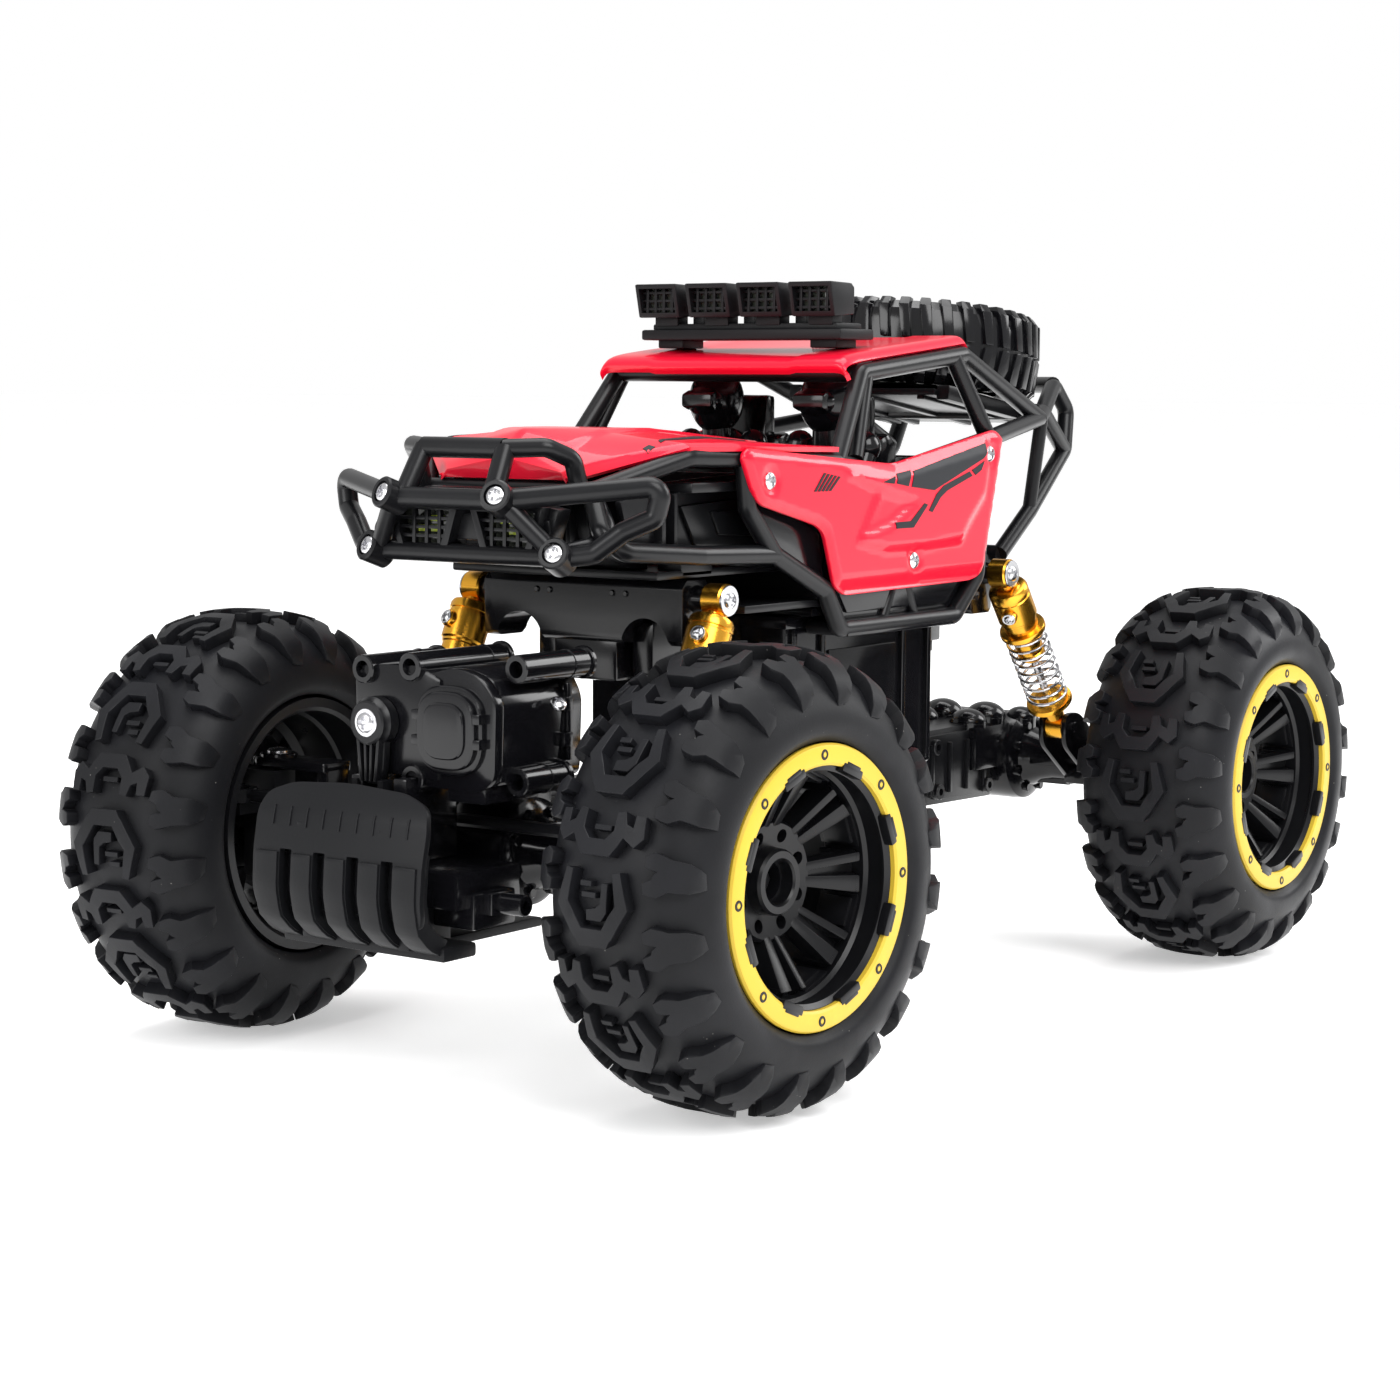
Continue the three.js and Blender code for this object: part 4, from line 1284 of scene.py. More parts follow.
    def _spoke(self) -> Draft:
        """A split spoke along +X: two ridges that part outwards over a lower web.

        Returns:
            The spoke.
        """
        spoke = Draft()
        for root, tip in (((0.4, 3.4), (0.9, 5.8)), ((-3.4, -1.0), (-5.6, -3.0))):
            near = [(15.0, 2.0, root[0]), (15.0, 2.0, root[1]), (15.0, 8.2, root[1]), (15.0, 8.2, root[0])]
            far = [(29.0, 9.0, tip[0]), (29.0, 9.0, tip[1]), (29.0, 16.6, tip[1]), (29.0, 16.6, tip[0])]
            spoke.merge(hexahedron(near, far, 0.45))
            toe = [(28.0, 3.0, tip[0]), (28.0, 3.0, tip[1]), (28.0, 16.2, tip[1]), (28.0, 16.2, tip[0])]
            heel = [(31.8, 3.0, tip[0]), (31.8, 3.0, tip[1]), (31.8, 12.4, tip[1]), (31.8, 12.4, tip[0])]
            spoke.merge(hexahedron(toe, heel, 0.35))
        near = [(14.6, 2.0, -3.2), (14.6, 2.0, 3.2), (14.6, 7.2, 3.2), (14.6, 7.2, -3.2)]
        far = [(31.5, 7.5, -4.8), (31.5, 7.5, 4.8), (31.5, 12.0, 4.8), (31.5, 12.0, -4.8)]
        spoke.merge(hexahedron(near, far, 0.3))
        return spoke

    def _window_lip(self) -> Draft:
        """A stepped pad on the barrel wall between two spokes.

        Returns:
            The pad.
        """
        pad = Draft().block((29.6, 4.0, -4.2), (31.8, 13.5, 4.2), 0.5)
        pad.block((30.6, 2.0, -5.4), (31.9, 15.0, 5.4), 0.4)
        return pad

    def _disc(self) -> Draft:
        """The hub disc with its ring of holes.

        Returns:
            The disc.
        """
        profile = [(5.4, 1.2), (15.4, 1.2), (16.8, 3.0), (17.0, 7.4), (16.0, 8.4), (9.0, 7.0), (5.4, 7.0)]
        disc = Draft().turned(profile, steps=64, closed=True)
        holes = Draft()
        for k in range(self.spokes):
            angle = TAU * (k + 0.5) / self.spokes
            x, z = 12.9 * math.cos(angle), 12.9 * math.sin(angle)
            holes.rod((x, 3.0, z), (x, 12.0, z), 1.9, steps=18)
        return cut_away(disc, holes)

    def rim(self, shop: Workshop) -> None:
        """Makes the rim: barrel, hub and spokes.

        Args:
            shop: the shared node trees.
        """
        barrel = [
            (31.6, 23.0), (33.0, 24.1), (38.6, 24.1), (38.6, -25.3), (35.8, -25.3), (34.6, -24.2),
                (34.6, -13.0),
            (33.6, -12.0), (33.6, 1.0), (31.4, 3.0), (31.4, 16.0), (32.4, 17.0), (32.4, 21.8), (31.6, 22.2),
        ]
        rim = Draft().turned(barrel, steps=120, closed=True)
        rim.merge(self._disc())
        collar = [
            (5.5, 0.0), (9.2, 0.0), (9.4, 7.2), (9.2, 10.6), (8.6, 11.4), (6.7, 11.4), (6.2, 10.8),
                (6.0, 2.0),
            (5.5, 1.6),
        ]
        rim.turned(collar, steps=48, closed=True)
        rim.merge_mesh(shop.around(self._spoke(), self.spokes, Look.SATIN))
        rim.merge_mesh(shop.around(self._window_lip(), self.spokes, Look.SATIN, math.pi / self.spokes))
        tab = Draft().block((31.8, 22.6, -4.6), (34.3, 26.2, 4.6), 0.5)
        tab.block((33.4, 24.0, -3.2), (35.0, 26.2, 3.2), 0.4)
        rim.merge_mesh(shop.around(tab, self.spokes, Look.SATIN, math.pi / self.spokes))
        rim.merge_mesh(shop.around(self._bolt_eye(), self.spokes, Look.SATIN))
        self._inner_hub(rim)
        rim.piece(f"{self.node}_spoked_rim", Look.SATIN, self.body, [f"{self.node}_rim"], self.place)

    def _inner_hub(self, rim: Draft) -> None:
        """Adds the hub's inboard boss and the nut in its recess.

        Args:
            rim: the rim that it joins.
        """
        inner = -10.6 if self.node.startswith("front") else -19.6
        boss = [(0, inner), (4.6, inner), (5.0, inner + 0.5), (5.4, 1.0), (5.6, 2.4), (0, 2.4)]
        rim.turned(boss, steps=36)
        rim.turned([(0, 2.0), (3.2, 2.0), (3.5, 2.4), (3.5, 5.0), (2.6, 5.6), (0, 5.6)], steps=6)

    def _bolt_eye(self) -> Draft:
        """A hollow bolt head on the ring's face.

        Returns:
            The eye.
        """
        eye = Draft()
        eye.sleeve((36.2, 25.2, 0), (36.2, 26.25, 0), 1.5, 0.85, 0.2, 20)
        return eye

    def ring(self, shop: Workshop) -> None:
        """Makes the bolted ring.

        Args:
            shop: the shared node trees.
        """
        o, i, f = self.ring_outer, self.ring_inner, self.ring_face
        profile = [(i, f - 1.9), (o - 0.1, f - 1.9), (o, f - 0.9), (o - 0.5, f - 0.2), (o - 1.0, f),
            (i + 0.7, f), (i, f - 0.5)]
        ring = Draft().turned(profile, steps=120, closed=True)
        plug = Draft().rod((36.2, 25.2, 0), (36.2, 26.15, 0), 0.9, steps=16)
        ring.merge_mesh(shop.around(plug, self.spokes, Look.YELLOW))
        ring.piece(f"{self.node}_bolted_ring", Look.YELLOW, self.body, [f"{self.node}_bead_ring"],
            self.place)

    def build(self, shop: Workshop) -> None:
        """Makes the whole wheel.

        Args:
            shop: the shared node trees.
        """
        self.tyre(shop)
        self.rim(shop)
        self.ring(shop)


def hexahedron(near: Sequence[Point], far: Sequence[Point], bevel: float) -> Draft:
    """A solid between two four-cornered ends, whose corners are given in the same order."""
    faces = [(0, 1, 2, 3), (4, 5, 6, 7), (0, 1, 5, 4), (1, 2, 6, 5), (2, 3, 7, 6), (3, 0, 4, 7)]
    return Draft().shell([*near, *far], faces, bevel)


# ------------------------------------------------------------------ studio


@dataclass(frozen=True)
class Studio:
    """A pale floor, soft lights and the camera."""

    eye: Point = (807.7, 553.8, 198.9)
    target: Point = (35.9, 0.0, 98.8)
    roll_degrees: float = 0.33
    focal: float = 2979.4
    frame_width: float = 1400.0
    sensor: float = 36.0
    reach: float = 40.0
    paper: float = 0.93
    white: float = 0.62
    floor_glow: float = 0.42

    def build(self) -> None:
        """Makes everything round the car."""
        self._camera()
        self._floor()
        self._lights()

    def _camera(self) -> None:
        """Sets the camera."""
        data = bpy.data.cameras.new("camera")
        data.sensor_width = self.sensor
        data.lens = self.focal / self.frame_width * self.sensor
        data.clip_start = 0.01
        camera = bpy.data.objects.new("camera", data)
        bpy.context.scene.collection.objects.link(camera)
        eye, target = Vector(self.eye) * MM, Vector(self.target) * MM
        look = (target - eye).to_track_quat("-Z", "Y").to_matrix().to_4x4()
        roll = Matrix.Rotation(math.radians(self.roll_degrees), 4, "Z")
        camera.matrix_world = Matrix.Translation(eye) @ look @ roll
        bpy.context.scene.camera = camera

    def _floor(self) -> None:
        """Makes the floor and sets the world's light."""
        data = bpy.data.meshes.new("floor")
        reach = self.reach
        data.from_pydata([(-reach, -reach, 0), (reach, -reach, 0), (reach, reach, 0), (-reach, reach, 0)],
            [], [(0, 1, 2, 3)])
        floor = bpy.data.objects.new("floor", data)
        bpy.context.scene.collection.objects.link(floor)
        tree = ShaderTree("floor_paper")
        data.materials.append(
            tree.finish(
                {
                    "Base Color": (self.paper, self.paper, self.paper, 1.0),
                    "Roughness": tree.noise(4.0) * 0.1 + 0.75,
                    "Emission Color": (1.0, 1.0, 1.0, 1.0), "Emission Strength": self.floor_glow,
                }
            )
        )
        world = bpy.data.worlds.new("studio")
        world.use_nodes = True
        nodes, links = world.node_tree.nodes, world.node_tree.links
        nodes.clear()
        seen = nodes.new("ShaderNodeBackground")
        seen.inputs["Strength"].default_value = 1.0
        seen.inputs["Color"].default_value = (1.0, 1.0, 1.0, 1.0)
        lit = nodes.new("ShaderNodeBackground")
        lit.inputs["Strength"].default_value = self.white
        lit.inputs["Color"].default_value = (1.0, 1.0, 1.0, 1.0)
        path = nodes.new("ShaderNodeLightPath")
        mix = nodes.new("ShaderNodeMixShader")
        out = nodes.new("ShaderNodeOutputWorld")
        links.new(path.outputs["Is Camera Ray"], mix.inputs[0])
        links.new(lit.outputs[0], mix.inputs[1])
        links.new(seen.outputs[0], mix.inputs[2])
        links.new(mix.outputs[0], out.inputs[0])
        bpy.context.scene.world = world

    def _lights(self) -> None:
        """Places the soft boxes."""
        boxes = (
            ("key", (0.75, 1.25, 1.35), 1.1, 24.0), ("front", (1.6, -0.35, 0.75), 0.9, 12.0),
            ("top", (-0.1, 0.0, 1.6), 1.3, 20.0), ("rim", (-1.2, 0.9, 0.9), 0.8, 12.0),
        )
        for name, place, size, power in boxes:
            light = bpy.data.lights.new(name, "AREA")
            light.size = size
            light.energy = power
            lamp = bpy.data.objects.new(name, light)
            bpy.context.scene.collection.objects.link(lamp)
            lamp.location = place
            lamp.rotation_euler = (Vector((0, 0, 0.1)) - Vector(place)).to_track_quat("-Z", "Y").to_euler()


# ------------------------------------------------------------------ sheet metal


def along(stops: Sequence[Flat], place: float) -> float:
    """A value read off a line of (place, value) stops in rising order, held at both ends.

    Args:
        stops: place and value of each stop.
        place: where to read.

    Returns:
        The value.
    """
    if place <= stops[0][0]:
        return stops[0][1]
    for (x0, v0), (x1, v1) in zip(stops, stops[1:]):
        if place <= x1:
            return v0 + (v1 - v0) * (place - x0) / (x1 - x0)
    return stops[-1][1]


def eased(share: float) -> float:
    """A share held between 0 and 1, with a gentle start and end."""
    held = max(0.0, min(1.0, share))
    return held * held * (3 - 2 * held)


def depth_inside(outline: Sequence[Flat], u: float, v: float) -> float:
    """Distance of a point from an outline, positive inside it and negative outside.

    Args:
        outline: points of the outline.
        u: first coordinate of the point.
        v: second coordinate.

    Returns:
        The distance.
    """
    inside = False
    nearest = 1e9
    for i, (u0, v0) in enumerate(outline):
        u1, v1 = outline[(i + 1) % len(outline)]
        if (v0 > v) != (v1 > v) and u < (u1 - u0) * (v - v0) / (v1 - v0) + u0:
            inside = not inside
        du, dv = u1 - u0, v1 - v0
        share = max(0.0, min(1.0, ((u - u0) * du + (v - v0) * dv) / (du * du + dv * dv)))
        nearest = min(nearest, math.hypot(u - u0 - share * du, v - v0 - share * dv))
    return nearest if inside else -nearest


def rounded(outline: Sequence[Flat], radius: float, steps: int = 4) -> list[Flat]:
    """An outline with its corners rounded.

    Args:
        outline: points of the outline.
        radius: how far the rounding reaches.
        steps: steps round a corner.

    Returns:
        The new outline.
    """
    points: list[Flat] = []
    for i, corner in enumerate(outline):
        here = Vector(corner)
        before = Vector(outline[i - 1]) - here
        after = Vector(outline[(i + 1) % len(outline)]) - here
        reach = min(radius, before.length * 0.45, after.length * 0.45)
        start, end = here + before.normalized() * reach, here + after.normalized() * reach
        for k in range(steps + 1):
            t = k / steps
            points.append(tuple(start * (1 - t) ** 2 + here * (2 * t * (1 - t)) + end * t * t))
    return points


def plate(grid: Sequence[Sequence[Point]], thickness: float) -> Draft:
    """A bent plate: its outer face is a grid of points, and its thickness lies behind that face.

    Args:
        grid: rows of points of the outer face.
        thickness: its thickness.

    Returns:
        The plate.
    """
    top = bmesh.new()
    rows = [[top.verts.new(p) for p in row] for row in grid]
    for lower, upper in zip(rows, rows[1:]):
        for k in range(len(lower) - 1):
            top.faces.new((lower[k], lower[k + 1], upper[k + 1], upper[k]))
    top.normal_update()
    count, wide = len(rows), len(rows[0])
    points = [v.co.copy() for row in rows for v in row]
    points += [v.co - v.normal * thickness for row in rows for v in row]
    top.free()
    half = count * wide
    faces = []
    for i in range(count - 1):
        for k in range(wide - 1):
            ring = (i * wide + k, i * wide + k + 1, (i + 1) * wide + k + 1, (i + 1) * wide + k)
            faces += [ring, tuple(half + n for n in reversed(ring))]
    edge = [k for k in range(wide)] + [i * wide + wide - 1 for i in range(1, count)]
    edge += [(count - 1) * wide + k for k in range(wide - 2, -1, -1)] + [i * wide for i in range(count - 2,
        0, -1)]
    faces += [(a, b, half + b, half + a) for a, b in zip(edge, edge[1:] + edge[:1])]
    return Draft().shell(points, faces)


@dataclass(frozen=True)
class SidePanel:
    """A pressed side panel with its stripes and screws, drawn for the left side."""

    side: int
    face: float = 57.6
    skin: float = 1.4
    outline: tuple[Flat, ...] = (
        (91, 181), (11, 175), (-52, 185.2), (-57, 182.6), (-45, 138), (-38, 136), (38.5, 135), (44, 138),
        (50, 154.5), (54, 157), (84, 164), (88, 167.5), (94, 178.5),
    )
    plateau: tuple[Flat, ...] = (
        (-47, 180), (-43, 164), (-33, 155), (-28.5, 149.8), (-6, 148.6), (18, 148.6), (33, 151.5),
            (20.5, 167),
        (40, 172.5), (11, 171.5),
    )
    facet: tuple[Flat, ...] = ((20.1, 167.5), (-1.0, 163.2), (14.7, 155.5), (35.0, 151.0))
    screws: tuple[Flat, ...] = PANEL_SCREWS

    @property
    def name(self) -> str:
        """Which side this is."""
        return "left" if self.side > 0 else "right"

    def surface(self, x: float, z: float) -> float:
        """Distance of the outer face from the car's centre plane.

        Args:
            x: place along the car.
            z: height.

        Returns:
            The distance.
        """
        rolled = eased(depth_inside(self.outline, x, z) / 2.0)
        fold = 2.4 * (1 - eased((z - 136.0) / 5.0)) if x < 46 else 0.0
        raised = 1.3 * eased((depth_inside(self.plateau, x, z) + 1.2) / 2.4)
        dished = -0.9 * eased((depth_inside(self.facet, x, z) + 0.6) / 3.0)
        dimple = sum(
            -0.8 * eased((4.6 - math.hypot(x - sx, z - sz)) / 1.8) for sx, sz in self.screws
        )
        return self.face - 1.3 * (1 - rolled) - fold * rolled + raised + dished + dimple

    def _laid(self, flat: Vector) -> Vector:
        """Lays a flat draft, whose depth is measured from the surface, onto the panel."""
        return Vector((flat.x, self.side * (self.surface(flat.x, flat.z) + flat.y), flat.z))

    def _flat(self, outline: Sequence[Flat], low: float, high: float, pitch: float, bevel: float) -> Draft:
        """A flat draft of an outline, cut into a grid."""
        points = list(outline) if area(outline) > 0 else list(reversed(outline))
        return gridded(Draft().prism(points, Plane.XZ, low, high, bevel), pitch, (0, 2))

    def build(self, shop: Workshop) -> None:
        """Makes the panel, its stripes and its screws.

        Args:
            shop: the shared node trees.
        """
        skin = self._flat(rounded(list(self.outline), 4.0), -self.skin, 0.0, 1.5, 0.45)
        skin = warped(skin, self._laid)
        skin.piece(f"{self.name}_pressed_side", Look.RED, "root", [f"{self.name}_side_panel"],
            smooth=math.radians(40))
        self._stripes()
        head = PanScrew(2.7, 1.5).head()
        places = [((x, self.side * (self.surface(x, z) - 0.1), z), (0, self.side, 0)) for x,
            z in self.screws]
        Draft().merge_mesh(shop.on_points(head, places, Look.STEEL)).piece(
            f"{self.name}_side_screws", Look.STEEL, "root"
        )

    def _stripes(self) -> None:
        """Makes the printed shapes: an angular band, thin lines and a hatch."""
        shapes = [
            [(2.6, 172.6), (-43.2, 180.9), (-43.1, 177.8), (-40.2, 175.9), (-9.5, 166.3), (4.2, 167.7)],
            [(12.0, 172.0), (3.9, 172.9), (6.1, 167.9), (13.1, 168.9)],
            [(21.2, 169.5), (13.5, 171.2), (14.6, 168.9)],
            [(-31.4, 171.8), (-15.3, 167.6), (-10.9, 165.0), (-6.4, 159.9), (-8.4, 159.3), (-13.4, 163.9),
             (-17.5, 166.0), (-33.2, 170.4)],
            [(-40.9, 175.1), (-32.8, 172.2), (-35.2, 170.6), (-39.0, 172.2)],
            [(13.2, 156.8), (4.5, 156.9), (-3.6, 162.3), (-5.7, 161.8), (2.8, 154.8), (13.0, 154.8)],
        ]
        for k in range(5):
            x, z = 52.6 - k * 2.0, 173.0 - k * 0.3
            foot = max(165.6, z - 5.6 + k * 0.3)
            shapes.append([(x, z), (x - 1.2, z - 0.1), (x + 4.2, foot), (x + 5.4, foot + 0.1)])
        film = Draft()
        for shape in shapes:
            film.merge(self._flat(shape, -0.2, 0.22, 1.5, 0.0))
        warped(film, self._laid).piece(f"{self.name}_side_stripes", Look.DECAL, "root")


@dataclass(frozen=True)
class Hood:
    """The bent hood with its two tapered stripes."""

    nose: float = 135.0
    cowl: float = 41.0
    thickness: float = 1.5
    crown: tuple[Flat, ...] = ((41, 182.1), (90, 186.4), (127, 186.4), (132.5, 184.6), (135, 181.0))
    edge: tuple[Flat, ...] = ((41, 180.6), (90, 181.4), (111, 181.4), (133, 172.2), (135, 171.9))
    half_width: tuple[Flat, ...] = ((41, 55.4), (93, 55.4), (111, 49.9), (135, 23.6))

    def height(self, x: float, y: float) -> float:
        """Height of the outer face.

        Args:
            x: place along the car.
            y: place across the car.

        Returns:
            The height.
        """
        low, high = along(self.edge, x), along(self.crown, x)
        inward = along(self.half_width, x) - abs(y)
        slope = 0.22 * eased(inward / 2.5) + 0.78 * min(1.0, inward / 34.0)
        rib = 0.9 * eased((19.0 + (self.nose - x) * 0.08 - abs(y)) / 2.5) * eased((self.nose - 5 - x) / 6)
        return low + (high - 0.9 - low) * slope + rib

    def build(self) -> None:
        """Makes the hood and its stripes."""
        stations = [self.cowl + (self.nose - self.cowl) * k / 90 for k in range(91)]
        grid: list[list[Point]] = []
        for x in stations:
            half = along(self.half_width, x)
            shares = [math.copysign(abs(v) ** 0.75, v) for v in (k / 36 for k in range(-36, 37))]
            grid.append([(x, half * s, self.height(x, half * s)) for s in reversed(shares)])
        lip = [(self.nose, p[1], min(p[2] - 1.0, 178.0)) for p in grid[-1]]
        foot = [(self.nose - 0.4, p[1], 171.8) for p in grid[-1]]
        grid += [lip, foot]
        plate(grid, self.thickness).piece("pressed_hood", Look.RED, "root", ["hood_panel"],
            smooth=math.radians(28))
        film = Draft()
        for side in (-1, 1):
            stripe = [(70, 36.5), (74, 43.5), (113, 40.8), (112, 39.2)]
            dash = [(118, 38.0), (115.5, 38.4), (115.8, 41.0), (118.6, 40.4)]
            for shape in (stripe, dash):
                points = [(x, side * y) for x, y in shape]
                if area(points) < 0:
                    points.reverse()
                film.merge(gridded(Draft().prism(points, Plane.XY, -0.2, 0.25, 0.0), 1.6, (0, 1)))
        film = warped(film, lambda p: Vector((p.x, p.y, self.height(p.x, p.y) + p.z)))
        film.piece("hood_stripes", Look.DECAL, "root")


@dataclass(frozen=True)
class Roof:
    """The roof plate with a stepped front lip and rolled sides."""

    half_width: float = 47.9
    thickness: float = 1.4
    profile: tuple[Flat, ...] = (
        (25.2, 203.2), (26.6, 205.6), (24.6, 207.9), (19.6, 209.2), (8, 210.6), (-16, 213.0), (-40, 215.4),
        (-45.6, 215.9), (-47.8, 214.4),
    )

    def build(self) -> None:
        """Makes the roof."""
        line = smooth_line(list(self.profile), 4)
        shares = [-1, -0.985, -0.965, -0.94, -0.9, -0.6, -0.55, 0, 0.55, 0.6, 0.9, 0.94, 0.965, 0.985, 1]
        drop = {1: 2.6, 0.985: 1.5, 0.965: 0.6, 0.94: 0.15, 0.9: 0.0}
        grid = []
        for x, z in line:
            grid.append([(x, self.half_width * s,
                z - drop.get(abs(s), 0.0) - (0.5 if abs(s) < 0.58 else 0.0))
                         for s in shares])
        plate(grid, self.thickness).piece("pressed_roof", Look.RED, "root", ["roof_panel"],
            smooth=math.radians(35))


# ------------------------------------------------------------------ cage and bumper


@dataclass(frozen=True)
class Cage:
    """The tubes round the cabin and behind it."""

    tube: float = 2.9
    rail: float = 52.6
    roof: float = 47.4

    def build(self, shop: Workshop) -> None:
        """Makes both cages and the glossy inner liners.

        Args:
            shop: the shared node trees.
        """
        self._cabin(shop)
        self._rear(shop)
        self._liners()

    def _cabin(self, shop: Workshop) -> None:
        """The cabin's tubes.

        Args:
            shop: the shared node trees.
        """
        r, f = self.rail, self.roof
        front, rear, tail = (17, f, 203.2), (-45, f, 209.6), (-105, 43, 188.5)
        shoulder, scuttle = (-54, r, 182), (38, r, 176)
        runs = []
        for run in (
            [scuttle, front, rear, tail],
            [(-39, f, 209), shoulder, tail],
            [scuttle, (11, r, 171), shoulder],
            [scuttle, (88, r, 178), (109, 48, 178.5), (133, 31, 168.5)],
            [(88, r, 177), (86, r, 163), (72, r, 149), (44, r, 137), (36, r, 124.5), (-33, r, 124.5),
                (-47, r, 137), shoulder],
            [(72, r, 149), (106, 50, 150), (136, 45, 152), (141, 41, 157), (133, 31, 168.5)],
        ):
            runs += both(run)
        runs += [[front, (17, -f, 203.2)], [rear, (-45, -f, 209.6)], [(133, 31, 168.5), (133, -31, 168.5)]]
        cage = Draft().merge_mesh(shop.tube(runs, self.tube, Look.SATIN, 4.0, 16))
        thin = both([(27, r, 177), (13, f, 203.5)])
        thin += both([(36, r, 124.5), (36, 42, 124.5)]) + both([(-33, r, 124.5), (-33, 42, 124.5)])
        cage.merge_mesh(shop.tube(thin, self.tube - 0.7, Look.SATIN, 2.0, 14))
        lugs = Draft()
        for x, z in PANEL_SCREWS:
            lugs.sleeve((x, r - 3.0, z), (x, 56.4, z), 4.4, 1.2, 0.4, 24)
        for start, end in (((-0.6, r - 1, 144), (-10, r - 1, 125)), ((-0.6, r - 1, 144), (10, r - 1, 125))):
            lugs.rod(start, end, 1.8)
        for x, z in ((13, 203.0), (-40, 209.2)):
            lugs.block((x - 5, f - 5, z - 1), (x + 5, f - 1, z + 4.4), 0.8)
        cage.merge(lugs.mirrored())
        cage.piece("cabin_tubes", Look.SATIN, "root", ["roll_cage"])

    def _rear(self, shop: Workshop) -> None:
        """The tubes and the tray behind the cabin.

        Args:
            shop: the shared node trees.
        """
        corner, top, back, foot = (-112, 40.5, 190.5), (-131, 34, 200), (-136, 36, 177), (-88, 38, 142)
        runs = both([corner, top, (-141, 34, 191), back, (-108, 38, 156), foot]) + both([corner, back])
        runs += both([(-105, 43, 188.5), corner])
        runs.append([top, (-145, 14, 200), (-145, -14, 200), (-131, -34, 200)])
        runs.append([corner, (-108, 0, 190.5), (-112, -40.5, 190.5)])
        runs.append([foot, (-88, -38, 142)])
        cage = Draft().merge_mesh(shop.tube(runs, self.tube, Look.SATIN, 4.0, 16))
        cage.merge_mesh(shop.tube(both([corner, (-108, 38, 156)]), self.tube - 0.5, Look.SATIN, 2.0, 14))
        tilt = Matrix.Rotation(SPARE_TILT, 4, "Y")
        tray = Draft().block((-36, -28, -19.4), (36, 28, -17.0), 0.8)
        for y in (-22, 0, 22):
            tray.block((-35, y - 1.5, -20.6), (35, y + 1.5, -19.0), 0.4)
        for y in (-30, 30):
            tray.block((-34, y - 2.5, -20.6), (34, y + 2.5, -15.6), 0.8)
        cage.merge(tray, Matrix.Translation((-98, 0, 210.5)) @ tilt)
        cage.piece("tail_tubes", Look.SATIN, "root", ["rear_cage"])

    def _liners(self) -> None:
        """Glossy panels behind the side panels and along the sills."""
        liner = Draft()
        liner.prism([(-45, 138), (-32, 125.5), (35, 125.5), (43, 138), (40, 152), (-46, 152)], Plane.XZ,
            49.6, 51.4, 0.5)
        liner.prism([(-38, 137), (-29, 129), (31, 129), (37, 137)], Plane.XZ, 51.0, 52.6, 0.8)
        liner.prism([(43, 138), (71, 150), (85, 163), (84, 166), (54, 158), (46, 154)], Plane.XZ, 50.0,
            51.8, 0.6)
        liner.prism([(49, 143), (68, 151), (77, 160), (56, 155)], Plane.XZ, 47.0, 50.4, 0.6)
        liner.block((-30, 40.0, 122.0), (34, 55.0, 124.6), 0.6)
        liner.mirrored().piece("sill_liners", Look.GLOSS, "root")


